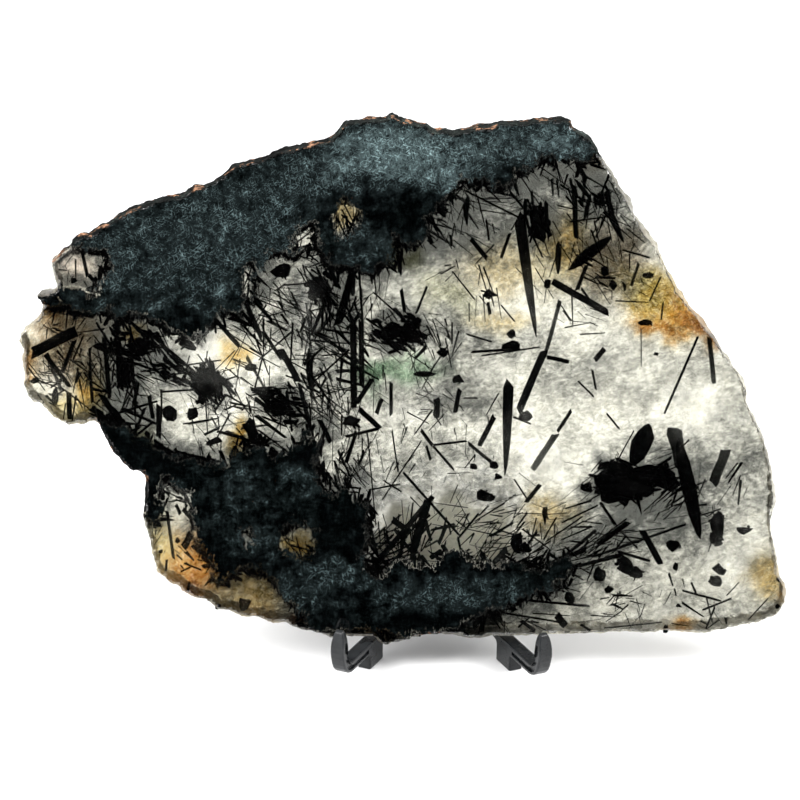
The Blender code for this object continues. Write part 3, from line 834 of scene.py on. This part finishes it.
PRISMS = (
    (510, 192, 530, 216, 3, 1.0, 1.6), (464, 190, 522, 219, 2.4, 1.0, 1.4),
    (587, 264, 576, 292, 5, 1.0, 1.6), (486, 219, 489, 241, 2.5, 1, 1), (510, 232, 501, 258, 4, 1.5, 5),
    (470, 238, 488, 260, 5, 1, 1.5), (488, 302, 490, 316, 4, 1, 1), (452, 271, 475, 300, 2, 1, 2),
    (401, 288, 405, 314, 4, 1, 1), (427, 286, 416, 314, 3, 1, 1.4), (501, 305, 515, 322, 2, 1, 1),
    (639, 262, 631, 286, 4, 3, 4), (661, 276, 649, 302, 2, 2, 3), (663, 302, 661, 320, 2, 2, 3),
    (605, 348, 594, 361, 6, 1, 3), (698, 336, 664, 414, 3, 0.8, 0.9), (641, 328, 641, 367, 1.4, 3, 5),
    (709, 336, 714, 384, 6, 4, 7), (546, 357, 569, 362, 5, 1, 1.4), (495, 414, 479, 446, 6, 1, 3),
    (592, 370, 596, 390, 3, 1, 4), (578, 381, 594, 397, 2.4, 1, 3), (572, 409, 557, 432, 4, 1, 1.5),
    (557, 432, 532, 470, 7, 5, 8), (606, 413, 620, 430, 2.4, 1, 1), (513, 417, 531, 424, 2.5, 1, 1),
    (467, 442, 497, 467, 3.6, 1, 1.4), (420, 429, 433, 446, 4, 1, 1), (433, 446, 454, 470, 3, 1.5, 5),
    (433, 445, 467, 441, 2.6, 1, 1.4), (426, 445, 431, 461, 3, 1, 1), (403, 472, 460, 536, 3, 0.8, 1.4),
    (422, 440, 382, 500, 1.8, 1.4, 3), (392, 430, 398, 472, 2, 1, 1.4),
    (368, 438, 376, 526, 1.6, 1.6, 3.4), (540, 484, 525, 503, 5, 0.9, 1), (514, 479, 527, 499, 2, 1, 1),
    (514, 522, 489, 537, 3, 1, 1.4), (479, 513, 457, 540, 2.6, 1, 2), (447, 524, 438, 545, 4, 1, 1.4),
    (391, 518, 411, 533, 7, 1, 2), (394, 529, 416, 558, 4, 1, 1.6), (413, 502, 411, 518, 2, 1, 1),
    (368, 490, 400, 484, 2, 1, 1.4), (383, 480, 402, 492, 2, 1, 1), (460, 388, 455, 413, 6, 2, 3.5),
    (463, 398, 478, 398, 1.6, 1, 1), (598, 505, 561, 523, 2.4, 1.4, 3), (583, 516, 545, 542, 2, 1.4, 3),
    (686, 524, 592, 557, 3, 2.4, 4.4), (616, 551, 650, 561, 3.4, 0.9, 1.2),
    (600, 502, 616, 526, 3.6, 1, 1.2), (588, 548, 537, 569, 6, 3, 6), (561, 587, 537, 595, 4, 2, 4),
    (681, 590, 721, 601, 2.8, 0.9, 1.4), (732, 598, 702, 610, 2.6, 0.9, 2),
    (691, 582, 696, 594, 2.6, 1, 1), (715, 606, 703, 635, 2.2, 1.4, 2.4),
    (739, 582, 726, 596, 1.6, 1, 1.4), (768, 598, 742, 626, 1.4, 2, 3.6), (387, 240, 371, 282, 5, 1, 1.4),
    (359, 271, 363, 327, 3, 0.9, 1), (373, 292, 398, 314, 2, 1, 1.6), (270, 253, 323, 249, 3, 1, 1.4),
    (391, 381, 391, 417, 4, 1, 1), (376, 415, 382, 398, 5, 0.9, 1), (356, 404, 373, 378, 6, 1, 1.4),
    (344, 437, 381, 428, 4, 1, 1.2), (358, 408, 381, 429, 6, 1.4, 2), (357, 430, 346, 463, 5, 1, 1),
    (365, 451, 359, 464, 3, 1, 1), (319, 418, 331, 443, 6, 1, 1), (217, 431, 270, 446, 3.4, 0.9, 1.1),
    (204, 435, 221, 427, 3, 1, 1), (183, 424, 219, 418, 2, 1, 1), (214, 318, 240, 347, 5, 1, 1.6),
    (69, 299, 66, 329, 2, 1, 1), (84, 335, 72, 363, 2, 1.4, 3), (82, 250, 88, 278, 4, 0.9, 1),
    (84, 253, 99, 247, 3, 1, 1), (50, 262, 65, 256, 2.6, 1, 1), (30, 402, 41, 398, 4, 1, 1),
    (91, 303, 105, 317, 3, 1, 1.4), (109, 416, 158, 401, 3, 1, 1.4), (149, 394, 153, 420, 5, 1, 1),
    (159, 403, 159, 440, 6, 1, 1.2), (137, 435, 154, 421, 3, 1, 1), (167, 510, 174, 560, 4, 0.9, 1),
    (176, 504, 181, 515, 4, 1, 1), (167, 559, 166, 571, 3, 1, 1), (176, 554, 183, 560, 2, 1, 1),
    (184, 563, 202, 570, 2, 1, 1), (180, 572, 191, 567, 2, 1, 1), (190, 581, 187, 593, 3, 1, 1),
    (240, 288, 262, 340, 5, 1, 1.4), (262, 330, 282, 360, 4, 1, 1.4), (264, 352, 254, 392, 2, 1, 2),
    (232, 300, 262, 336, 4, 1, 2), (293, 322, 290, 372, 2.4, 1, 2), (324, 284, 322, 330, 3, 1, 1.6),
    (344, 302, 366, 346, 2.4, 1, 1.4), (610, 204, 640, 196, 2, 1, 2), (622, 250, 650, 258, 2.4, 0.9, 1.2),
    (569, 222, 612, 216, 2, 1, 2), (470, 352, 520, 349, 3, 1, 2), (480, 356, 540, 347, 2, 1.4, 3),
    (466, 334, 492, 342, 2.4, 1, 1), (452, 322, 452, 344, 2, 1, 1.6), (560, 300, 546, 352, 5, 4, 7),
    (634, 430, 612, 470, 1.6, 2, 3), (560, 560, 596, 530, 4, 2, 5), (520, 620, 540, 634, 4, 1.6, 3),
    (500, 612, 560, 622, 2.4, 1, 2.6), (580, 624, 600, 636, 3, 2, 4), (526, 600, 590, 606, 3, 1.4, 3),
    (604, 628, 662, 622, 1.6, 1.6, 3), (706, 596, 712, 622, 1.6, 1.6, 3), (69, 390, 70, 422, 6, 1.4, 2.4),
    (47, 352, 62, 392, 4, 3, 5), (90, 370, 93, 404, 4, 1.4, 3), (76, 338, 62, 374, 5, 2.4, 4),
    (104, 334, 110, 398, 6, 1.0, 2.4), (118, 340, 121, 392, 8, 1.2, 2.0), (130, 336, 134, 386, 5, 1.4, 3),
    (96, 322, 128, 372, 3, 0.8, 2), (112, 300, 140, 352, 3, 1, 2), (100, 392, 150, 470, 7, 0.8, 1.6),
    (110, 420, 146, 458, 8, 0.9, 1.4), (126, 360, 214, 392, 3, 1, 2), (140, 372, 222, 360, 2, 0.8, 2),
    (146, 330, 206, 382, 4, 1.2, 2.6), (160, 392, 222, 388, 2.4, 1, 1.6),
    (152, 444, 206, 470, 9, 1.2, 2.4), (172, 452, 214, 462, 7, 1.6, 3), (268, 470, 300, 520, 7, 1, 2),
    (226, 480, 240, 540, 9, 1, 2), (318, 500, 326, 560, 6, 1, 2), (256, 500, 276, 560, 6, 1, 2),
)

# %% Lumps and broken pieces
# middle across and down, half size across and down, depth
LUMPS = (
    (489, 294, 9, 5.5, 1.2), (547, 283, 4.5, 4, 0.9), (604, 271, 5, 6, 1.2), (614, 286, 4, 5, 1.4),
    (648, 275, 6, 3.5, 1.2), (647, 323, 8, 4, 1.0), (656, 354, 2.6, 2.6, 0.8), (526, 415, 8, 5.5, 1.0),
    (494, 466, 3.6, 3.6, 0.9), (498, 477, 3.4, 3.4, 0.9), (474, 467, 3.2, 3.2, 0.9),
    (486, 496, 10, 7, 1.1), (545, 517, 3, 8, 1.0), (516, 544, 7, 10, 1.2), (526, 548, 7, 6, 1.4),
    (629, 484, 29, 17, 1.6), (606, 466, 9, 5, 1.0), (588, 487, 8, 6, 3.0), (662, 476, 16, 12, 2.4),
    (717, 524, 9, 13, 1.3), (716, 540, 8, 8, 4.0), (744, 530, 10, 4.5, 1.1), (719, 568, 7, 6, 1.1),
    (714, 580, 8, 7, 4.6), (675, 566, 2.4, 4, 1.0), (679, 606, 3, 2, 0.9), (665, 629, 3, 3, 0.9),
    (625, 566, 12, 9, 1.3), (636, 574, 9, 7, 2.4), (597, 575, 7, 8, 1.4), (609, 589, 5, 4, 1.0),
    (674, 546, 8, 6, 5.0), (458, 380, 6, 5, 1.4), (444, 352, 7, 5, 1.6), (512, 334, 5, 5, 1.0),
    (512, 348, 10, 6, 2.4), (392, 332, 14, 9, 1.4), (410, 326, 9, 7, 1.6), (353, 422, 8, 8, 1.0),
    (283, 272, 10, 9, 1.3), (320, 290, 14, 12, 2.0), (214, 442, 9, 5, 1.0), (252, 367, 7, 4, 1.0),
    (254, 449, 9, 7, 1.2), (268, 394, 9, 8, 1.0), (282, 408, 13, 9, 1.6), (208, 384, 9, 14, 1.4),
    (182, 329, 15, 7, 1.2), (188, 345, 11, 5, 1.2), (145, 345, 10, 10, 1.3), (170, 414, 7, 7, 1.0),
    (192, 414, 6, 6, 1.0), (74, 281, 3, 2.4, 0.9), (60, 285, 2.4, 2, 0.9), (35, 381, 4, 3, 0.9),
    (55, 397, 3.6, 7, 1.0), (161, 551, 2, 2, 0.8), (218, 606, 2.6, 2.6, 0.8), (178, 540, 2.4, 2.4, 0.8),
    (778, 580, 2, 2, 0.9), (778, 607, 3, 3, 1.0), (124, 370, 8, 20, 3.4), (236, 266, 8, 7, 1.2),
    (412, 336, 12, 8, 1.4), (540, 226, 8, 12, 1.6), (600, 200, 7, 9, 2.0),
)

# %% One lump
BREAKS, BREAK_REACH = 9, (0.38, 0.72)
LUMP_DEPTHS = (0.5, 1.7)


def lump(bm, middle, across, down, dice):
    """A broken piece of crystal: a ball cut by a few flat breaks."""
    made = bmesh.ops.create_icosphere(bm, subdivisions=2, radius=1.0)
    verts = made["verts"]
    breaks = [
        (Vector([dice.gauss(0, 1) for _ in range(3)]).normalized(), dice.uniform(*BREAK_REACH))
        for _ in range(BREAKS)
    ]
    offset = Vector([dice.uniform(-9, 9) for _ in range(3)])
    deep = min(max(min(across, down) * 0.8, LUMP_DEPTHS[0]), LUMP_DEPTHS[1])
    for vert in verts:
        place = vert.co * (1 + 0.5 * noise.noise(vert.co * 1.7 + offset))
        for direction, reach in breaks:
            past = place.dot(direction) - reach
            if past > 0:
                place -= direction * past
        vert.co = Vector((place.x * across, place.y * deep, place.z * down)) * 1.35 + middle
        vert.co.y = min(max(vert.co.y, FRONT_SKIN), THICKNESS - BACK_SKIN)
    tones_and_haze.append(np.full(len(verts), dice.random() ** 3 * OWN_TONE))


print(len(BLADES), "blades,", len(PRISMS), "prisms,", len(LUMPS), "lumps")

# %% [markdown]
# ## Thickets
#
# Round the felt the needles are countless, and a list of them would be pointless. A thicket is a patch
# that is filled with needles by a seeded dice: how many, how long and how wide in pixels, which way most
# of them point, how much they stray from that way, and how deep they reach. Real needles often grew in
# sprays, so a few at a time share a place and a way.

# %% Thickets
# across, down, reach across, reach down, number, shortest, longest, width, way, stray, deepest
THICKETS = (
    (110, 350, 44, 70, 57, 12, 44, 1.7, 80, 60, 8.5), (170, 400, 60, 40, 60, 12, 46, 1.8, 60, 80, 8.0),
    (250, 320, 60, 40, 84, 14, 56, 1.8, 60, 60, 8.0), (330, 300, 50, 60, 180, 14, 52, 1.9, 80, 70, 8.0),
    (325, 390, 40, 60, 120, 12, 54, 1.8, 65, 60, 8.0), (250, 420, 60, 40, 90, 12, 44, 1.8, 30, 80, 8.0),
    (345, 235, 40, 30, 72, 14, 44, 1.7, 70, 50, 7.0), (300, 250, 40, 24, 60, 14, 44, 1.7, 30, 70, 7.0),
    (410, 330, 60, 44, 90, 8, 40, 1.5, 60, 80, 8.5), (430, 250, 50, 36, 66, 10, 40, 1.6, 60, 70, 7.0),
    (490, 205, 70, 26, 66, 12, 44, 1.6, 70, 70, 7.0), (590, 195, 36, 44, 90, 10, 44, 1.8, 60, 60, 7.0),
    (540, 250, 60, 44, 54, 10, 40, 1.5, 70, 60, 7.0), (400, 400, 60, 36, 60, 8, 34, 1.4, 60, 80, 8.5),
    (330, 480, 40, 40, 102, 12, 50, 1.8, 70, 50, 7.0), (400, 545, 60, 26, 102, 14, 50, 1.8, 120, 50, 7.0),
    (480, 556, 60, 20, 72, 12, 44, 1.7, 130, 60, 7.0), (540, 570, 50, 24, 78, 14, 52, 1.6, 160, 25, 8.0),
    (600, 535, 50, 24, 48, 16, 60, 1.6, 155, 16, 8.0), (655, 495, 40, 28, 78, 12, 44, 1.7, 140, 50, 6.0),
    (300, 540, 30, 24, 30, 10, 36, 1.7, 70, 80, 6.0), (180, 500, 30, 50, 30, 8, 26, 1.6, 70, 80, 6.0),
    (185, 560, 40, 30, 22, 6, 18, 1.5, 60, 90, 5.0), (500, 470, 60, 50, 20, 8, 32, 1.3, 60, 80, 8.0),
    (570, 400, 80, 70, 10, 8, 34, 1.2, 70, 60, 8.0), (640, 590, 80, 36, 30, 8, 34, 1.3, 110, 70, 8.0),
    (700, 480, 60, 60, 8, 8, 30, 1.2, 70, 60, 8.0), (740, 600, 40, 26, 12, 10, 40, 1.2, 60, 70, 6.0),
    (625, 265, 50, 40, 36, 8, 36, 1.5, 60, 70, 7.0), (560, 622, 90, 14, 36, 10, 40, 1.7, 10, 60, 6.0),
    (450, 470, 70, 50, 24, 8, 34, 1.3, 65, 80, 8.0), (70, 360, 30, 50, 102, 8, 34, 1.6, 60, 80, 7.0),
    (75, 268, 30, 20, 12, 8, 22, 1.5, 70, 60, 5.0), (450, 610, 60, 16, 30, 10, 30, 1.4, 60, 80, 4.0),
    (126, 378, 24, 36, 66, 10, 36, 1.7, 60, 70, 6.0), (492, 526, 54, 14, 60, 12, 44, 1.5, 150, 40, 7.0),
)

# %% Keeping crystals inside the quartz
DRAW_STEPS = 12
SHALLOWEST = 0.35
EDGE_MARGIN = 0.25  # millimetres of quartz that every crystal keeps round it
slab_tree = BVHTree.FromPolygons([tuple(p) for p in points], [tuple(f.vertices) for f in slab.polygons])


def in_quartz(place, margin):
    """Whether the place lies between both sawn faces, at least this far from the slab's surface."""
    if slab_tree.find_nearest(place)[3] <= margin:
        return False
    through_front, through_back = (slab_tree.ray_cast(place, (0, way, 0))[1] for way in (-1, 1))
    return bool(through_front and through_back and through_front.y < 0 < through_back.y)


def drawn_in(place, towards, margin):
    """The place, drawn towards the crystal's other end until it lies in quartz, or None."""
    for step in range(DRAW_STEPS):
        tried = place.lerp(towards, step / DRAW_STEPS * 0.5)
        if in_quartz(tried, min(margin, tried.y - 0.05, THICKNESS - tried.y - 0.05)):
            return tried
    return None


# %% The needles of one thicket
SPRAY, SPRAY_REACH, SPRAY_STRAY = 6, 9.0, 24.0  # needles that grew together, in pixels and degrees
HUB_SPREAD = 0.6
STEEPNESS = 0.2  # how much deeper one end lies than the other, for each millimetre of length


def ends(x, y, length, angle):
    """Both ends of a line round this middle, in pixels."""
    dx, dy = cos(angle) * length / 2, sin(angle) * length / 2
    return x - dx, y - dy, x + dx, y + dy


def thicket_needles(row, dice):
    """The needles of one thicket, in small sprays, as start, end, width and both depths."""
    x, y, across, down, number, shortest, longest, width, way, stray, deep = row
    made = []
    for count in range(number):
        if count % SPRAY == 0:
            hub_x, hub_y = dice.gauss(x, across * HUB_SPREAD), dice.gauss(y, down * HUB_SPREAD)
            hub_way = dice.gauss(way, stray / 2)
        cx, cy = dice.gauss(hub_x, SPRAY_REACH), dice.gauss(hub_y, SPRAY_REACH)
        length = shortest + (longest - shortest) * dice.random() ** 2
        angle = radians(dice.gauss(hub_way, SPRAY_STRAY))
        near = SHALLOWEST + (deep - SHALLOWEST) * dice.random() ** 3
        far = near + dice.gauss(0, 1) * length * PIXEL * STEEPNESS
        thick = width * min(max(dice.lognormvariate(-0.15, 0.5), 0.45), 3.6)
        made.append((*ends(cx, cy, length, angle), thick, near, far))
    return made


print(sum(row[4] for row in THICKETS), "needles in the thickets")

# %% [markdown]
# ## The tourmaline's finish
#
# Black tourmaline is opaque, with grooves along each prism. The grooves are far finer than the mesh, so
# they are a bump. In the open it is glossy, but inside quartz, which bends light nearly as much, the gloss
# is almost gone: the index that counts is the one crystal's over the other's.

# %% Black tourmaline
TOURMALINE_IOR = 1.64


def tourmaline_finish(name, dark, light):
    material, tree, shader = new_finish(name)
    place = slab_millimetres(tree)
    mottled = grain(place, 1.4, 4, 0.6)
    colour = blend(between(mottled, 0.35, 0.7), dark, light)
    # the painted tone pales a crystal towards grey: its own random tone, plus painted haze where it lies
    # deep
    colour = blend(painted(tree, "tone"), colour, (0.16, 0.17, 0.17))
    tree.links.new(colour, shader.inputs["Base Color"])
    tree.links.new(between(mottled, 0.3, 0.7, 0.3, 0.5), shader.inputs["Roughness"])
    relief(shader, grain(slab_millimetres(tree, (4.0, 4.0, 0.8)), 0.5, 3, 0.6), 0.05 * MM, 0.6)
    shader.inputs["IOR"].default_value = TOURMALINE_IOR / QUARTZ_IOR
    return material


black = tourmaline_finish("black_tourmaline", (0.0006, 0.0009, 0.0012), (0.004, 0.0055, 0.006))


def keep(piece):
    """Paints the piece's own tone and painted haze, gathered while it grew, and hands it to the stone's
    body.
    """
    paint(piece.data, "tone", np.concatenate(tones_and_haze))
    tones_and_haze.clear()
    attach(piece, "root")
    print(piece.name, len(piece.data.vertices), "points")
    return piece


# %% Growing the large crystals
dice = random.Random(11)
TEMPLATES = {outline: crystal_template(9, len(outline)) for outline in (PRISM, BLADE, TAPER, BROKEN)}
thin_template = crystal_template(5, 2)


def grow(bm, template, outline, row, flat_limit, dice):
    """One crystal from a row of photograph places, kept between the polished faces."""
    x0, y0, x1, y1, width, near, far = row
    wide = width * PIXEL
    deep = min(wide * 0.85, flat_limit)
    start = held_inside(in_stone(x0, y0, near), deep / 2)
    end = held_inside(in_stone(x1, y1, far), deep / 2)
    margin = EDGE_MARGIN + wide / 4
    start, end = drawn_in(start, end, margin), drawn_in(end, start, margin)
    if start and end:
        crystal(bm, template, start, end, wide, outline, deep / wide, dice)


SMALL_LUMP, LUMP_CORE = 4.5, 0.86  # lumps wider than this, in pixels, get a smaller ball and some shards

bm = bmesh.new()
for *row, outline in BLADES:
    grow(bm, TEMPLATES[outline], outline, row, 1.6, dice)
for row in PRISMS:
    grow(bm, TEMPLATES[PRISM], PRISM, row, 1.6, dice)
keep(finished(bm, "tourmaline_crystals", black))

bm = bmesh.new()
for x, y, across, down, depth in LUMPS:
    core = LUMP_CORE if across > SMALL_LUMP else 1.0
    lump(bm, in_stone(x, y, depth), across * core * PIXEL, down * core * PIXEL, dice)
keep(finished(bm, "tourmaline_lumps", black))

# %% Shards that fill a mass
SHARD_LENGTHS, SHARD_WIDTHS, SHARD_STRAY = (9, 30), (1.8, 6.5), 24  # pixels, pixels and degrees


def shards_in(spacing, way, outline, dice):
    """Short broken crystals at all angles, close enough to hide the quartz behind them."""
    corners = np.array(outline, float)
    low, high = corners.min(axis=0) - 3, corners.max(axis=0) + 3
    number = int(np.prod(high - low) / spacing ** 2)
    spots = [(dice.uniform(low[0], high[0]), dice.uniform(low[1], high[1])) for _ in range(number)]
    spots = np.array(spots)
    made = []
    in_window = np.max([distance_inside(spots, window) for window in WINDOWS.values()], axis=0) > -2
    for (x, y), depth in zip(spots, np.where(in_window, -9, distance_inside(spots, outline))):
        if depth < -2.5:
            continue
        length, angle = dice.uniform(*SHARD_LENGTHS), radians(dice.gauss(way, SHARD_STRAY))
        near, far = dice.uniform(*MASS_DEPTHS), dice.uniform(*MASS_DEPTHS)
        made.append((*ends(x, y, length, angle), dice.uniform(*SHARD_WIDTHS), near, far))
    return made


# %% Shards along a border and round a lump
BORDER_SPACING = 3.0
BORDER_LENGTHS, BORDER_WIDTHS = (8, 26), (1.5, 6)
BORDER_WAY, BORDER_STRAY = 75, 40


def shards_along(outline, dice):
    """Shards that stick out of a felted mass all along its border."""
    corners = np.array(outline, float)
    made = []
    for a, b in zip(corners, np.roll(corners, -1, axis=0)):
        for _ in range(int(np.linalg.norm(b - a) / BORDER_SPACING)):
            x, y = a + (b - a) * dice.random() + np.array((dice.gauss(0, 3), dice.gauss(0, 3)))
            length, angle = dice.uniform(*BORDER_LENGTHS), radians(dice.gauss(BORDER_WAY, BORDER_STRAY))
            near, far = dice.uniform(*MASS_DEPTHS), dice.uniform(*MASS_DEPTHS)
            made.append((*ends(x, y, length, angle), dice.uniform(*BORDER_WIDTHS), near, far))
    return made


def shards_round(x, y, across, down, depth, dice):
    """The shards that make a lump ragged."""
    made = []
    for _ in range(int(across * down / 20) + 3):
        turn, reach = dice.uniform(0, 2 * pi), dice.uniform(0.2, 0.75)
        cx, cy = x + cos(turn) * reach * across, y + sin(turn) * reach * down
        half, angle = min(across, down) * dice.uniform(0.35, 0.75), dice.uniform(0, pi)
        wide = min(across, down) * dice.uniform(0.25, 0.7)
        made.append((*ends(cx, cy, 2 * half, angle), wide, depth, depth + dice.uniform(0, 0.6)))
    return made


# %% Growing the masses of shards
SHARD_OUTLINES = (BLADE, BROKEN, TAPER)
bm = bmesh.new()
rows = [row for mass in MASSES.values() for row in shards_in(*mass, dice)]
rows += [row for name in ("top", "lower left") for row in shards_along(FELT[name], dice)]
for x, y, across, down, depth in LUMPS:
    if across > SMALL_LUMP:
        rows += shards_round(x, y, across, down, depth, dice)
for row in rows:
    outline = dice.choice(SHARD_OUTLINES)
    grow(bm, TEMPLATES[outline], outline, row, 1.3, dice)
keep(finished(bm, "tourmaline_shards", black))

# %% Growing the thickets
bm = bmesh.new()
for thicket in THICKETS:
    for row in thicket_needles(thicket, dice):
        grow(bm, thin_template, (1.0, 0.6), row, 1.0, dice)
keep(finished(bm, "tourmaline_needles", black))

# %% [markdown]
# ## The easel
#
# The easel's leaves are injection-moulded black plastic, and their solids already have the right shape.
# They only get a finish: a satin black with the fine spark texture of the mould, slightly uneven gloss,
# and a little grey in soft random patches.

# %% Moulded black plastic
def plastic_finish():
    material, tree, shader = new_finish("moulded_black_plastic")
    place = slab_millimetres(tree)
    spark = grain(place, 0.35, 3, 0.6)
    rubbed = grain(place, 7.0, 5, 0.6)
    colour = blend(between(rubbed, 0.4, 0.75), (0.007, 0.008, 0.009), (0.020, 0.022, 0.024))
    tree.links.new(colour, shader.inputs["Base Color"])
    tree.links.new(between(rubbed, 0.3, 0.7, 0.22, 0.36), shader.inputs["Roughness"])
    shader.inputs["Specular IOR Level"].default_value = 0.3
    relief(shader, spark, 0.05 * MM, 0.35)
    return material


plastic = plastic_finish()
for name in ("easel_left_leaf", "easel_right_leaf"):
    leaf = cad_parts[name]
    for slot in range(len(leaf.data.materials)):
        leaf.data.materials[slot] = plastic
    print(name, "has", len(leaf.data.materials), "material slot")

# %% [markdown]
# ## Floor, light and camera
#
# The floor is plain and pale. Light comes from all round, as in a white tent, but not from the camera's
# own side: a polished face mirrors what is in front of it, and a bright room there would wash out every
# black crystal. Two large soft lights give the easel and the rim their highlights.

# %% Floor
FLOOR_HALF = 6.0
bm = bmesh.new()
bmesh.ops.create_grid(bm, x_segments=1, y_segments=1, size=FLOOR_HALF)
floor_mesh = bpy.data.meshes.new("floor")
bm.to_mesh(floor_mesh)
bm.free()
floor = in_scene("floor", floor_mesh)
paper, _, paper_shader = new_finish("white_paper")
paper_shader.inputs["Base Color"].default_value = (0.93, 0.93, 0.93, 1)
paper_shader.inputs["Roughness"].default_value = 0.9
floor_mesh.materials.append(paper)

# %% Camera
FOCAL_LENGTH = 97.5
forward = Vector((0, cos(LEAN), -sin(LEAN)))
upward = Vector((0, sin(LEAN), cos(LEAN)))
right = Vector((1, 0, 0)) * cos(TURN) + upward * sin(TURN)
top = upward * cos(TURN) - Vector((1, 0, 0)) * sin(TURN)
camera_data = bpy.data.cameras.new("camera")
camera_data.lens = FOCAL_LENGTH
camera_data.sensor_width = 36.0
camera = in_scene("camera", camera_data)
turned = Matrix((right, top, -forward)).transposed().to_4x4()
camera.matrix_world = Matrix.Translation(FACE_MIDDLE - forward * VIEW_DISTANCE * MM) @ turned
bpy.context.scene.camera = camera

# %% Light
DARK_CONE = (0.78, 0.95)  # the world is bright up to the first cosine, dark from the second
TENT_STRENGTH, TENT_DARK = 1.35, 0.01
world = bpy.data.worlds.new("tent")
world.use_nodes = True
bpy.context.scene.world = world
sky = world.node_tree
background = sky.nodes["Background"]
way = node(sky, "ShaderNodeTexCoord").outputs["Generated"]
facing = node(sky, "ShaderNodeVectorMath", {0: way, 1: -forward}, operation="DOT_PRODUCT").outputs["Value"]
tent = between(facing, DARK_CONE[0], DARK_CONE[1], 1.0, TENT_DARK)
sky.links.new(blend(tent, (0, 0, 0), (1.0, 1.0, 1.0)), background.inputs["Color"])
background.inputs["Strength"].default_value = TENT_STRENGTH


def soft_light(name, place, aim, size, power):
    data = bpy.data.lights.new(name, "AREA")
    data.shape = "SQUARE"
    data.size = size
    data.energy = power
    lamp = in_scene(name, data)
    lamp.location = place
    lamp.rotation_euler = (Vector(aim) - Vector(place)).to_track_quat("-Z", "Y").to_euler()


soft_light("left_light", (-0.9, -0.5, 0.7), (0, 0, 0.08), 0.5, 13)
soft_light("right_light", (0.9, -0.3, 0.8), (0, 0, 0.08), 0.5, 11)
tone = bpy.context.scene.view_settings
tone.view_transform = "Standard"
tone.use_curve_mapping = True  # the photograph is printed hard: its blacks are full and its whites clean
tone.curve_mapping.black_level = (0.0012, 0.0012, 0.0012)
tone.curve_mapping.white_level = (0.95, 0.95, 0.95)
tone.curve_mapping.update()
